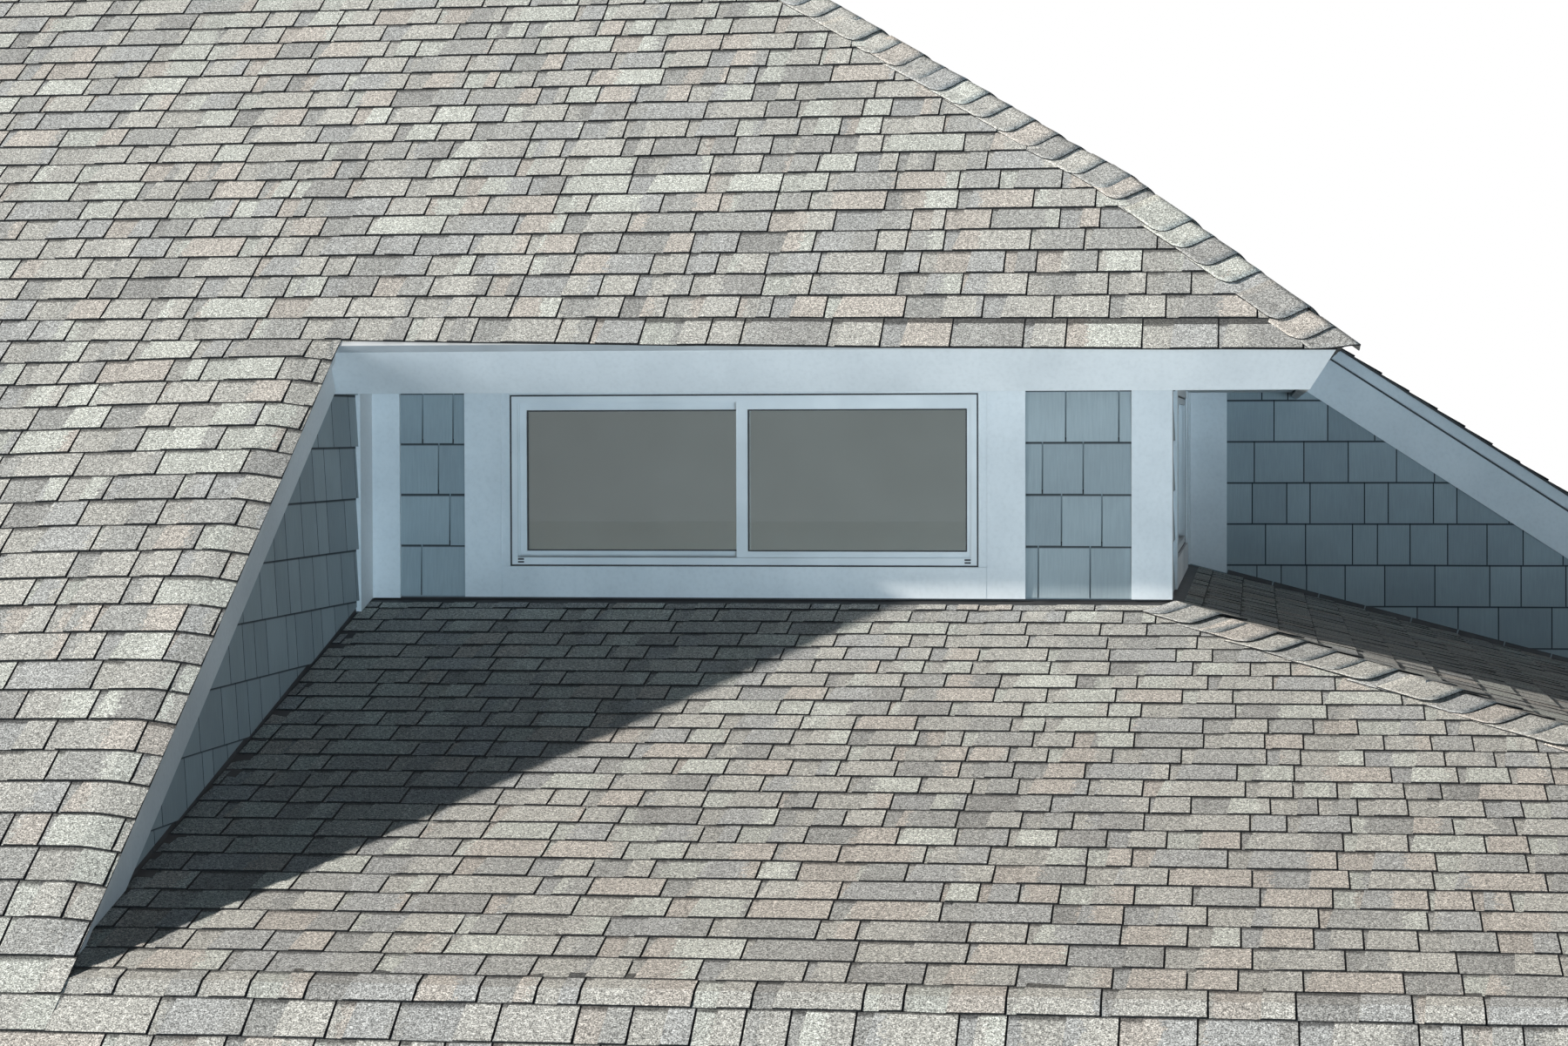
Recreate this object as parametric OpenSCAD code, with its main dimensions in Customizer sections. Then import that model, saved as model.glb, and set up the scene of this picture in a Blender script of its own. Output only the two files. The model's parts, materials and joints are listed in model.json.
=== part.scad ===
// Inset corner dormer under a hip roof, with a band of sliding windows on both sides of the corner.
// Lengths are millimetres. The corner of the two window walls is worked out at x = 0, y = 0,
// and the whole is then moved so that the middle of its base lies on the origin.

/* [Plan] */
// From the outer corner of the window walls to the left cheek wall
front_width = 2830; // [2500:5:3300]
// From the outer corner of the window walls to the right cheek wall
side_width = 3200; // [2800:5:3600]
// Width of the main roof kept left of the left cheek wall
left_strip = 2090; // [1500:10:2600]
// Least width of the main roof kept behind the right cheek wall
back_strip = 950; // [500:10:1400]
// How much further out the main roof of the side lies than that of the front
side_shift = 170; // [40:5:260]
// Level length of main roof kept below the break in the slope of the front
bottom_run = 330; // [280:10:600]
// Height of the low walls below the cut eaves
curb_height = 150; // [100:10:400]
// Thickness of every outer wall
wall_thickness = 140; // [100:5:190]

/* [Slopes] */
// Rise of the main roof in each 12 of run
main_rise = 7.83; // [7:0.01:9]
// Rise of the shallow roof below the windows in each 12 of run
lower_rise = 3.11; // [2.5:0.01:3.8]
// Thickness of the main roof, square to its slope
roof_thickness = 160; // [140:5:180]
// Thickness of the shallow roof, square to its slope
lower_roof_thickness = 140; // [100:5:180]

/* [Eave] */
// How far the upper roof stands out past the window walls
eave_out = 564; // [500:2:640]
// Height of the upper roof's edge above the foot of the window walls
eave_height = 900; // [820:1:980]
// Thickness of the fascia board
fascia_thickness = 25; // [18:1:32]
// Height of the fascia board, square to the slope
fascia_height = 192; // [170:1:215]
// Thickness of the soffit boards
soffit_thickness = 12; // [9:1:18]
// Thickness of bent sheet metal
metal_thickness = 2; // [1:0.5:4]
// Face height of the metal strip along the eave
drip_face = 27; // [15:1:50]

/* [Rake boards] */
// Height of the left rake board, square to the slope
left_rake_height = 180; // [140:2:220]
// Height of the right rake board, square to the slope
right_rake_height = 234; // [190:2:260]
// Thickness of the rake boards
rake_board_thickness = 20; // [15:1:30]
// Height of the narrow board on top of each rake board
shadow_board_height = 55; // [30:1:80]
// Thickness of the narrow board on top of each rake board
shadow_board_thickness = 20; // [10:1:30]

/* [Trim] */
// Thickness of the corner boards and the window casing
trim_thickness = 20; // [15:1:30]
// Gap between the foot of the trim and the shallow roof
trim_foot_gap = 8; // [5:1:30]
// Width of each face of the outer corner boards
corner_board_width = 140; // [90:1:180]
// Width of the inner corner board on the window wall
inner_board_window = 120; // [80:1:160]
// Width of the inner corner board on the cheek wall
inner_board_cheek = 178; // [100:1:200]
// Width of the window casing boards
casing_width = 133; // [90:1:160]
// Width of the moulding between casing and window
mould_width = 31; // [20:1:40]
// Thickness of that moulding
mould_thickness = 15; // [10:1:20]
// Width and depth of the open joints in the casing
board_joint = 2.5; // [1:0.5:4]

/* [Window] */
// How far the middle of the front window lies left of the middle of its wall
front_window_offset = 65; // [20:5:110]
// How far the middle of the side window lies behind the middle of its wall
side_window_offset = 100; // [20:5:180]
// Overall width of each window frame
window_width = 1660; // [1400:5:1830]
// Height of the window's foot above the foot of the wall
window_foot = 118; // [100:1:140]
// Height between the head of the window and the soffit
head_gap = 32; // [20:1:60]
// Depth of the window frame through the wall
frame_depth = 84; // [76:1:95]
// How far the window frame stands out of the wall
frame_proud = 10; // [0:1:14]
// Width of the frame at each side
jamb_width = 26; // [20:1:40]
// Height of the frame's sill
sill_height = 30; // [26:1:45]
// Height of the frame's head
head_height = 28; // [25:1:45]
// Depth of the grooves that hold the sashes
track_depth = 8; // [5:0.5:10]
// Thickness of each sash
sash_thickness = 24; // [18:1:27]
// Clearance on each side of a sash in its groove
sash_clearance = 1.5; // [0.5:0.5:2.5]
// Web of the frame in front of and between the grooves
track_web = 7; // [5:0.5:9]
// Width of the rails and the outer stile of a sash
sash_rail = 30; // [22:1:45]
// Width of the stiles where the sashes meet
meeting_stile = 40; // [30:1:55]
// Width of the fixed sash's outer stile
fixed_stile = 20; // [16:1:40]
// Thickness of a pane
pane_thickness = 5; // [3:0.5:8]
// Depth of the groove that holds a pane
pane_groove = 7; // [4:0.5:10]
// Clearance round a pane in its groove
pane_clearance = 0.5; // [0.2:0.1:1]
// Length of a drain slot in the sill
weep_length = 22; // [15:1:40]
// Height of a drain slot in the sill
weep_height = 4; // [3:0.5:6]
// Depth of the lower drain slot
weep_depth = 4; // [2:0.5:6]
// Clearance between window frame and wall or casing
frame_clearance = 1; // [0.5:0.5:3]

/* [Flashing and caps] */
// Width of flashing lying on the shallow roof
flashing_width = 60; // [50:5:100]
// Height of the step flashing on the cheek walls
step_height = 90; // [60:5:120]
// Length of each piece of step flashing
step_length = 200; // [150:5:250]
// Gap between the pieces of step flashing
step_gap = 6; // [2:1:20]
// Width of the hip caps on each side of the hip
cap_width = 140; // [100:5:180]
// Thickness of the hip caps
cap_thickness = 8; // [4:1:12]
// Gap between two lengths of hip caps where the hip turns
cap_gap = 4; // [2:1:10]

/* [Hidden] */
main_slope = main_rise / 12;
lower_slope = lower_rise / 12;
main_angle = atan(main_slope);
lower_angle = atan(lower_slope);
W = front_width;
D = side_width;
T = wall_thickness;
B = max(D, W + side_shift) + back_strip;
hip_end = B - side_shift;
S = max(W + left_strip, hip_end + 2 * cap_width);
ridge_z = eave_height + main_slope * eave_out;
side_ridge_z = ridge_z + main_slope * side_shift;
front_break = ridge_z / (main_slope - lower_slope);
side_break = side_ridge_z / (main_slope - lower_slope);
front_edge = front_break + bottom_run;
side_edge = front_edge + side_shift;
base_height = main_slope * front_edge - ridge_z + roof_thickness / cos(main_angle) + curb_height;
shift_x = (S - side_edge) / 2;
shift_y = (front_edge - B) / 2;
reach = 3 * S;
eave_slope = main_slope + main_slope * side_shift / (eave_out + T);
eave_angle = atan(eave_slope);
soffit_top = eave_height - roof_thickness * cos(main_angle);
soffit_foot = soffit_top - soffit_thickness;
soffit_out = eave_out - fascia_height * sin(main_angle);
window_height = soffit_foot - window_foot - head_gap;
front_centre = W / 2 + front_window_offset;
side_centre = D / 2 + side_window_offset;
track_width = sash_thickness + 2 * sash_clearance;
track_front = track_web;
track_back = 2 * track_web + track_width;
opening_width = window_width - 2 * jamb_width;
opening_height = window_height - sill_height - head_height;
sash_height = opening_height + 2 * track_depth - 2 * sash_clearance;
sash_width = opening_width / 2 + track_depth + meeting_stile / 2;
sash_foot = sill_height - track_depth;

// Moves a piece from the corner of the window walls to the middle of the base
module place() {
  translate([shift_x, shift_y, base_height])
    children();
}

// Turns a piece of the front into the same piece of the side, about the line x + y = 0
module other_side() {
  mirror([1, 1, 0])
    children();
}

// Upright block with the given plan
module plan_block(points) {
  translate([0, 0, -2 * reach])
    linear_extrude(height = 4 * reach)
      polygon(points);
}

// Turns its children to lie along the main roof, moved outwards, measured from the eave's top edge
module on_main(out) {
  translate([0, -eave_out - out, eave_height])
    rotate([main_angle, 0, 0])
      children();
}

// Turns its children to lie along the steeper roof at the eave of the side
module on_eave() {
  translate([0, -eave_out, eave_height])
    rotate([eave_angle, 0, 0])
      children();
}

// Turns its children to lie along the shallow roof, measured from the wall's foot
module on_lower() {
  rotate([lower_angle, 0, 0])
    children();
}

// Endless layer from the given lower face to the given upper face
module layer(low, high) {
  translate([-reach, -reach, low])
    cube([2 * reach, 2 * reach, high - low]);
}

// Everything inwards of the fascia of the front
module inside_eave() {
  on_main(0)
    translate([-reach, 0, -reach])
      cube([2 * reach, 2 * reach, 2 * reach]);
}

module inside_both_eaves() {
  intersection() {
    inside_eave();
    other_side()
      inside_eave();
  }
}

// A wall with the given plan, from the base to the underside of the two main roof planes
module roofed_wall(points) {
  intersection() {
    translate([0, 0, -base_height])
      linear_extrude(height = 2 * reach)
        polygon(points);
    on_main(0)
      layer(-2 * reach, -roof_thickness);
    other_side()
      on_main(side_shift)
        layer(-2 * reach, -roof_thickness);
  }
}

// A wall with the given plan that also stays below the steeper roof at the eave of the side
module eave_wall(points) {
  intersection() {
    roofed_wall(points);
    other_side()
      on_eave()
        layer(-2 * reach, -roof_thickness);
  }
}

module front_main_piece(points) {
  intersection() {
    on_main(0)
      layer(-roof_thickness, 0);
    plan_block(points);
  }
}

module side_main_piece(points) {
  intersection() {
    other_side()
      on_main(side_shift)
        layer(-roof_thickness, 0);
    plan_block(points);
  }
}

module side_eave_piece() {
  intersection() {
    other_side()
      on_eave()
        layer(-roof_thickness, 0);
    plan_block([[eave_out, -eave_out], [eave_out, D], [-T, D], [-T, T + side_shift]]);
    layer(soffit_top, reach);
    inside_both_eaves();
  }
}

module lower_roof_piece(points) {
  intersection() {
    on_lower()
      layer(-lower_roof_thickness, 0);
    plan_block(points);
  }
}

// The opening for a window in a window wall
module window_hole(centre) {
  translate([-centre - window_width / 2 - frame_clearance, -1, window_foot])
    cube([window_width + 2 * frame_clearance, T + 2, window_height + frame_clearance]);
}

module fascia_piece(width) {
  intersection() {
    on_main(0)
      translate([-width, -fascia_thickness, -fascia_height - metal_thickness])
        cube([2 * reach, fascia_thickness, fascia_height]);
    plan_block([[-reach, -reach], [reach, -reach], [-reach, reach]]);
  }
}

module soffit_piece(width) {
  translate([0, 0, soffit_foot])
    linear_extrude(height = soffit_thickness)
      polygon([[-width, -soffit_out], [soffit_out, -soffit_out], [0, 0], [-width, 0]]);
}

module drip_edge_piece(width) {
  m = metal_thickness;
  intersection() {
    on_main(0)
      union() {
        translate([-width, -fascia_thickness - m, -drip_face])
          cube([2 * reach, m, drip_face]);
        translate([-width, -fascia_thickness - m, -m])
          cube([2 * reach, fascia_thickness + m, m]);
      }
    plan_block([[-reach, -reach], [reach, -reach], [-reach, reach]]);
  }
}

// Rake board with a narrow board on top, for a cheek at the given width and a roof moved outwards
module rake_boards_piece(width, height, out) {
  start = fascia_thickness + 2 * metal_thickness - out * cos(main_angle);
  intersection() {
    on_main(out)
      union() {
        translate([-width, -reach - start, -height])
          cube([rake_board_thickness, reach, height]);
        translate([-width, -reach - start, -shadow_board_height])
          cube([rake_board_thickness + shadow_board_thickness, reach, shadow_board_height]);
      }
    on_lower()
      layer(trim_foot_gap, 2 * reach);
  }
}

module outer_corner_piece() {
  t = trim_thickness;
  w = corner_board_width;
  translate([0, 0, trim_foot_gap])
    linear_extrude(height = soffit_foot - trim_foot_gap)
      polygon([[t - w, -t], [t, -t], [t, w - t], [0, w - t], [0, 0], [t - w, 0]]);
}

module inner_corner_piece(width) {
  t = trim_thickness;
  intersection() {
    translate([0, 0, -reach])
      linear_extrude(height = reach + soffit_foot)
        polygon([
          [-width, -inner_board_cheek],
          [-width + t, -inner_board_cheek],
          [-width + t, -t],
          [-width + inner_board_window, -t],
          [-width + inner_board_window, 0],
          [-width, 0]
        ]);
    on_lower()
      layer(trim_foot_gap, 2 * reach);
  }
}

// Window casing with its moulding, round the middle of the window
module casing_piece(centre) {
  inner = window_width / 2 + mould_width;
  outer = inner + casing_width;
  eye = window_width / 2 + frame_clearance;
  head = window_foot + window_height + frame_clearance;
  sill = window_foot - frame_clearance - trim_foot_gap;
  translate([-centre, 0, 0])
    difference() {
      union() {
        translate([-outer, -trim_thickness, trim_foot_gap])
          cube([casing_width, trim_thickness, soffit_foot - trim_foot_gap]);
        translate([inner, -trim_thickness, trim_foot_gap])
          cube([casing_width, trim_thickness, soffit_foot - trim_foot_gap]);
        translate([-inner, -trim_thickness, trim_foot_gap])
          cube([2 * inner, trim_thickness, sill]);
        translate([-inner, -mould_thickness, trim_foot_gap])
          cube([inner - eye, mould_thickness, soffit_foot - trim_foot_gap]);
        translate([eye, -mould_thickness, trim_foot_gap])
          cube([inner - eye, mould_thickness, soffit_foot - trim_foot_gap]);
        translate([-inner, -mould_thickness, head])
          cube([2 * inner, mould_thickness, soffit_foot - head]);
      }
      for (x = [-inner, inner - board_joint])
        translate([x, -trim_thickness - 1, trim_foot_gap - 1])
          cube([board_joint, 1 + board_joint, sill + 1]);
    }
}

// Window frame with two grooves for the sashes, worked out from its lower left outer corner
module frame_piece() {
  difference() {
    cube([window_width, frame_depth, window_height]);
    translate([jamb_width, -1, sill_height])
      cube([opening_width, frame_depth + 2, opening_height]);
    for (y = [track_front, track_back])
      translate([jamb_width - track_depth, y, sill_height - track_depth])
        cube([opening_width + 2 * track_depth, track_width, opening_height + 2 * track_depth]);
    for (x = [jamb_width, window_width - jamb_width - weep_length]) {
      translate([x, -1, sill_height - track_depth])
        cube([weep_length, track_front + 2, weep_height]);
      translate([x, -1, sill_height - track_depth - 2.5 * weep_height])
        cube([weep_length, 1 + weep_depth, weep_height]);
    }
  }
}

// One sash, worked out from its lower left corner, with the given stiles at left and right
module sash(left_stile, right_stile) {
  g = pane_groove;
  slot = pane_thickness + 2 * pane_clearance;
  difference() {
    cube([sash_width, sash_thickness, sash_height]);
    translate([left_stile, -1, sash_rail])
      cube([sash_width - left_stile - right_stile, sash_thickness + 2, sash_height - 2 * sash_rail]);
    translate([left_stile - g, (sash_thickness - slot) / 2, sash_rail - g])
      cube([sash_width - left_stile - right_stile + 2 * g, slot, sash_height - 2 * sash_rail + 2 * g]);
  }
}

module pane(left_stile, right_stile) {
  g = pane_groove;
  wide = sash_width - left_stile - right_stile + 2 * g - 2 * pane_clearance;
  high = sash_height - 2 * sash_rail + 2 * g - pane_clearance;
  translate([left_stile - g + pane_clearance, (sash_thickness - pane_thickness) / 2, sash_rail - g])
    cube([wide, pane_thickness, high]);
}

// Moves a window piece from the frame's corner into the wall
module in_window(centre) {
  translate([-centre - window_width / 2, -frame_proud, window_foot])
    children();
}

// Moves a sash to the left half on the inner groove
module sliding_place(centre) {
  x = jamb_width - track_depth + sash_clearance;
  in_window(centre)
    translate([x, track_back + sash_clearance, sash_foot])
      children();
}

// Moves a sash to the right half on the outer groove
module fixed_place(centre) {
  x = window_width - jamb_width + track_depth - sash_clearance - sash_width;
  in_window(centre)
    translate([x, track_front + sash_clearance, sash_foot])
      children();
}

module glass_piece(centre) {
  sliding_place(centre)
    pane(sash_rail, meeting_stile);
  fixed_place(centre)
    pane(meeting_stile, fixed_stile);
}

module base_flashing_piece(width) {
  m = metal_thickness;
  intersection() {
    union() {
      translate([-width + trim_thickness, -m, 0])
        cube([2 * reach, m, trim_foot_gap - 1]);
      on_lower()
        translate([-width + trim_thickness, -flashing_width, 0])
          cube([2 * reach, flashing_width, m]);
    }
    plan_block([[-reach, -reach], [reach, -reach], [0, 0], [-reach, 0]]);
  }
}

// Step flashing of a cheek at the given width, over the given run, below the given rake board
module step_flashing_piece(width, run, rake, out) {
  m = metal_thickness;
  first = inner_board_cheek + step_gap;
  pitch = step_length + step_gap;
  count = floor((0.97 * run - first) / pitch);
  intersection() {
    on_lower()
      union()
        for (i = [0 : count - 1])
          translate([-width, -first - i * pitch - step_length, 0]) {
            cube([m, step_length, step_height]);
            cube([flashing_width, step_length, m]);
          }
    on_main(out)
      layer(-2 * reach, -rake - m);
  }
}

// Everything below a plane that lies at the given height over one of the roof planes
module under_front(height) {
  on_main(0)
    layer(-2 * reach, height);
}

module under_side(height) {
  other_side()
    on_main(side_shift)
      layer(-2 * reach, height);
}

module under_eave(height) {
  other_side()
    on_eave()
      layer(-2 * reach, height);
}

module under_front_lower(height) {
  on_lower()
    layer(-2 * reach, height);
}

module under_side_lower(height) {
  other_side()
    under_front_lower(height);
}

// Hip caps over the steeper roof at the eave, from the eave to the turn of the hip
module eave_caps() {
  c = cap_width * sqrt(2);
  g = cap_gap / 2;
  turn = [-T, T + side_shift];
  eave_tip = [eave_out, -eave_out];
  tip = eave_tip + (eave_tip - turn) / 20;
  difference() {
    intersection() {
      plan_block([
        tip + [-c, 0], tip, tip + [0, c], turn + [g + c / 2, c / 2 - g], turn + [g - c / 2, -g - c / 2]
      ]);
      under_front(cap_thickness);
      under_eave(cap_thickness);
      inside_both_eaves();
    }
    intersection() {
      under_front(0);
      under_eave(0);
    }
  }
}

// Hip caps from the turn of the hip up to the cut
module ridge_caps() {
  c = cap_width * sqrt(2);
  start = [-T - cap_gap, T + side_shift + cap_gap];
  difference() {
    intersection() {
      plan_block([start, start - [c / 2, c / 2], [-hip_end - c, B], [c - hip_end, B], start + [0, c]]);
      under_front(cap_thickness);
      under_side(cap_thickness);
    }
    intersection() {
      under_front(0);
      under_side(0);
    }
  }
}

// Hip caps of the shallow roof, from the flashing to the first break
module shallow_caps() {
  c = cap_width * sqrt(2);
  s = flashing_width + cap_gap;
  n = front_break - cap_gap / 2;
  difference() {
    intersection() {
      plan_block([[s - c, -s], [s, -s], [s, c - s], [n, c - n], [n, -n], [n - c, -n]]);
      under_front_lower(cap_thickness);
      under_side_lower(cap_thickness);
    }
    intersection() {
      under_front_lower(0);
      under_side_lower(0);
    }
  }
}

// Hip caps between the breaks of the two sides, where a steep plane meets a shallow one
module break_caps() {
  w = cap_width;
  near = [front_break, -front_break];
  far = [side_break, side_shift - side_break];
  short = (far - near) * cap_gap / 2 / (side_break - front_break);
  difference() {
    intersection() {
      plan_block([near + short - [0, w], far - short - [0, w], far - short + [0, w], near + short + [0, w]]);
      under_front(cap_thickness);
      under_side_lower(cap_thickness);
    }
    intersection() {
      under_front(0);
      under_side_lower(0);
    }
  }
}

// Hip caps at the foot of the main roof
module foot_caps() {
  c = cap_width * sqrt(2);
  x = side_break + cap_gap / 2;
  difference() {
    intersection() {
      plan_block([
        [x, side_shift - x + c], [side_edge, c - front_edge], [side_edge, -front_edge], [x, -front_edge]
      ]);
      under_front(cap_thickness);
      under_side(cap_thickness);
    }
    intersection() {
      under_front(0);
      under_side(0);
    }
  }
}

module front_upper_roof() {
  color([0.42, 0.38, 0.34])
    place()
      intersection() {
        front_main_piece([
          [-W, -eave_out], [eave_out, -eave_out], [-T, T + side_shift], [-W, W + side_shift]
        ]);
        inside_both_eaves();
      }
}

module side_eave_roof() {
  color([0.42, 0.38, 0.34])
    place()
      side_eave_piece();
}

module side_upper_roof() {
  color([0.42, 0.38, 0.34])
    place()
      side_main_piece([[-T, T + side_shift], [-T, D], [side_shift - D, D]]);
}

module left_roof_strip() {
  color([0.42, 0.38, 0.34])
    place()
      front_main_piece([
        [-S, -front_edge],
        [-W, -front_edge],
        [-W, W + side_shift],
        [-hip_end, B],
        [-S, B]
      ]);
}

module back_roof_strip() {
  color([0.42, 0.38, 0.34])
    place()
      side_main_piece([[side_edge, D], [side_edge, B], [-hip_end, B], [side_shift - D, D]]);
}

module front_lower_roof() {
  color([0.45, 0.4, 0.36])
    place()
      lower_roof_piece([[-W, 0], [0, 0], [front_break, -front_break], [-W, -front_break]]);
}

module side_lower_roof() {
  color([0.45, 0.4, 0.36])
    place()
      other_side()
        lower_roof_piece([
          [0, 0],
          [front_break, -front_break],
          [side_break - side_shift, -side_break],
          [-D, -side_break],
          [-D, 0]
        ]);
}

module front_bottom_roof() {
  color([0.42, 0.38, 0.34])
    place()
      front_main_piece([
        [-W, -front_break],
        [front_break, -front_break],
        [side_break, side_shift - side_break],
        [side_edge, -front_edge],
        [-W, -front_edge]
      ]);
}

module side_bottom_roof() {
  color([0.42, 0.38, 0.34])
    place()
      side_main_piece([
        [side_break, D],
        [side_edge, D],
        [side_edge, -front_edge],
        [side_break, side_shift - side_break]
      ]);
}

module front_window_wall() {
  color([0.55, 0.53, 0.48])
    place()
      difference() {
        eave_wall([[-W, 0], [0, 0], [-T, T], [-W, T]]);
        window_hole(front_centre);
      }
}

module side_window_wall() {
  color([0.55, 0.53, 0.48])
    place()
      difference() {
        eave_wall([[0, 0], [0, D], [-T, D], [-T, T]]);
        other_side()
          window_hole(side_centre);
      }
}

module left_cheek_wall() {
  color([0.55, 0.53, 0.48])
    place()
      roofed_wall([[-W - T, T - front_edge], [-W, T - front_edge], [-W, T], [-W - T, T]]);
}

module right_cheek_wall() {
  color([0.55, 0.53, 0.48])
    place()
      roofed_wall([[side_edge - T, D], [side_edge - T, D + T], [-T, D + T], [-T, D]]);
}

module left_end_wall() {
  color([0.7, 0.68, 0.64])
    place()
      roofed_wall([[-S, -front_edge], [T - S, -front_edge], [T - S, B - T], [-S, B]]);
}

module back_end_wall() {
  color([0.7, 0.68, 0.64])
    place()
      roofed_wall([[side_edge, B], [-S, B], [T - S, B - T], [side_edge, B - T]]);
}

module front_curb() {
  color([0.7, 0.68, 0.64])
    place()
      roofed_wall([
        [T - S, -front_edge],
        [side_edge, -front_edge],
        [side_edge - T, T - front_edge],
        [T - S, T - front_edge]
      ]);
}

module side_curb() {
  color([0.7, 0.68, 0.64])
    place()
      roofed_wall([
        [side_edge, -front_edge],
        [side_edge, B - T],
        [side_edge - T, B - T],
        [side_edge - T, T - front_edge]
      ]);
}

module front_fascia() {
  color([0.85, 0.85, 0.84])
    place()
      fascia_piece(W);
}

module side_fascia() {
  color([0.85, 0.85, 0.84])
    place()
      other_side()
        fascia_piece(D);
}

module front_soffit() {
  color([0.85, 0.85, 0.84])
    place()
      soffit_piece(W);
}

module side_soffit() {
  color([0.85, 0.85, 0.84])
    place()
      other_side()
        soffit_piece(D);
}

module front_drip_edge() {
  color([0.78, 0.78, 0.78])
    place()
      drip_edge_piece(W);
}

module side_drip_edge() {
  color([0.78, 0.78, 0.78])
    place()
      other_side()
        drip_edge_piece(D);
}

module left_rake_boards() {
  color([0.85, 0.85, 0.84])
    place()
      rake_boards_piece(W, left_rake_height, 0);
}

module right_rake_boards() {
  color([0.85, 0.85, 0.84])
    place()
      other_side()
        rake_boards_piece(D, right_rake_height, side_shift);
}

module outer_corner_boards() {
  color([0.85, 0.85, 0.84])
    place()
      outer_corner_piece();
}

module left_inner_corner() {
  color([0.85, 0.85, 0.84])
    place()
      inner_corner_piece(W);
}

module right_inner_corner() {
  color([0.85, 0.85, 0.84])
    place()
      other_side()
        inner_corner_piece(D);
}

module front_window_casing() {
  color([0.85, 0.85, 0.84])
    place()
      casing_piece(front_centre);
}

module side_window_casing() {
  color([0.85, 0.85, 0.84])
    place()
      other_side()
        casing_piece(side_centre);
}

module front_window_frame() {
  color([0.88, 0.88, 0.87])
    place()
      in_window(front_centre)
        frame_piece();
}

module side_window_frame() {
  color([0.88, 0.88, 0.87])
    place()
      other_side()
        in_window(side_centre)
          frame_piece();
}

module front_sliding_sash() {
  color([0.88, 0.88, 0.87])
    place()
      sliding_place(front_centre)
        sash(sash_rail, meeting_stile);
}

module side_sliding_sash() {
  color([0.88, 0.88, 0.87])
    place()
      other_side()
        sliding_place(side_centre)
          sash(sash_rail, meeting_stile);
}

module front_fixed_sash() {
  color([0.88, 0.88, 0.87])
    place()
      fixed_place(front_centre)
        sash(meeting_stile, fixed_stile);
}

module side_fixed_sash() {
  color([0.88, 0.88, 0.87])
    place()
      other_side()
        fixed_place(side_centre)
          sash(meeting_stile, fixed_stile);
}

module front_window_glass() {
  color([0.5, 0.6, 0.65, 0.4])
    place()
      glass_piece(front_centre);
}

module side_window_glass() {
  color([0.5, 0.6, 0.65, 0.4])
    place()
      other_side()
        glass_piece(side_centre);
}

module front_base_flashing() {
  color([0.15, 0.14, 0.14])
    place()
      base_flashing_piece(W);
}

module side_base_flashing() {
  color([0.15, 0.14, 0.14])
    place()
      other_side()
        base_flashing_piece(D);
}

module left_step_flashing() {
  color([0.15, 0.14, 0.14])
    place()
      step_flashing_piece(W, front_break, left_rake_height, 0);
}

module right_step_flashing() {
  color([0.15, 0.14, 0.14])
    place()
      other_side()
        step_flashing_piece(D, side_break, right_rake_height, side_shift);
}

module upper_hip_caps() {
  color([0.38, 0.34, 0.31])
    place()
      union() {
        eave_caps();
        ridge_caps();
      }
}

module lower_hip_caps() {
  color([0.38, 0.34, 0.31])
    place()
      union() {
        shallow_caps();
        break_caps();
        foot_caps();
      }
}

front_upper_roof();
side_eave_roof();
side_upper_roof();
left_roof_strip();
back_roof_strip();
front_lower_roof();
side_lower_roof();
front_bottom_roof();
side_bottom_roof();
front_window_wall();
side_window_wall();
left_cheek_wall();
right_cheek_wall();
left_end_wall();
back_end_wall();
front_curb();
side_curb();
front_fascia();
side_fascia();
front_soffit();
side_soffit();
front_drip_edge();
side_drip_edge();
left_rake_boards();
right_rake_boards();
outer_corner_boards();
left_inner_corner();
right_inner_corner();
front_window_casing();
side_window_casing();
front_window_frame();
side_window_frame();
front_sliding_sash();
side_sliding_sash();
front_fixed_sash();
side_fixed_sash();
front_window_glass();
side_window_glass();
front_base_flashing();
side_base_flashing();
left_step_flashing();
right_step_flashing();
upper_hip_caps();
lower_hip_caps();
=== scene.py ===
import json
import math
import random

import bmesh
import bpy
from mathutils import Matrix, Vector


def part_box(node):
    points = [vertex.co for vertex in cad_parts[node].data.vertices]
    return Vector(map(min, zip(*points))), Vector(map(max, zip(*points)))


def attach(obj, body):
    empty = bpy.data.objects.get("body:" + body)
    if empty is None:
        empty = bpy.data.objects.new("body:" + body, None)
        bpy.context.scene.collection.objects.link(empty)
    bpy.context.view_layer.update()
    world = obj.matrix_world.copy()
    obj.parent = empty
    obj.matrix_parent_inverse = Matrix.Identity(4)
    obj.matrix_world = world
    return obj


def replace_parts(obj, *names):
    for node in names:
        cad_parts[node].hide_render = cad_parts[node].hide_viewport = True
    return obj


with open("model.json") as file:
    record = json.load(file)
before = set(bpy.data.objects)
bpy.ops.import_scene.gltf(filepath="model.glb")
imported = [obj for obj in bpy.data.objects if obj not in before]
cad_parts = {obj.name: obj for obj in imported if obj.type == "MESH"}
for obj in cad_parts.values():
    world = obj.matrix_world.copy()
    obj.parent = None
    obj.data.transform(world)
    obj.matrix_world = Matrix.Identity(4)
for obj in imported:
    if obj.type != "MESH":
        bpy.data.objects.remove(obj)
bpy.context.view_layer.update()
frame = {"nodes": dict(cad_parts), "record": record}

# Sizes in metres. Slopes and the eave repeat the part's own named sizes.
MAIN_RISE = 7.83 / 12
LOWER_RISE = 3.11 / 12
EAVE_OUT = 0.564
EAVE_HEIGHT = 0.900
SIDE_SHIFT = 0.170
WALL_THICKNESS = 0.140

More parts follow.
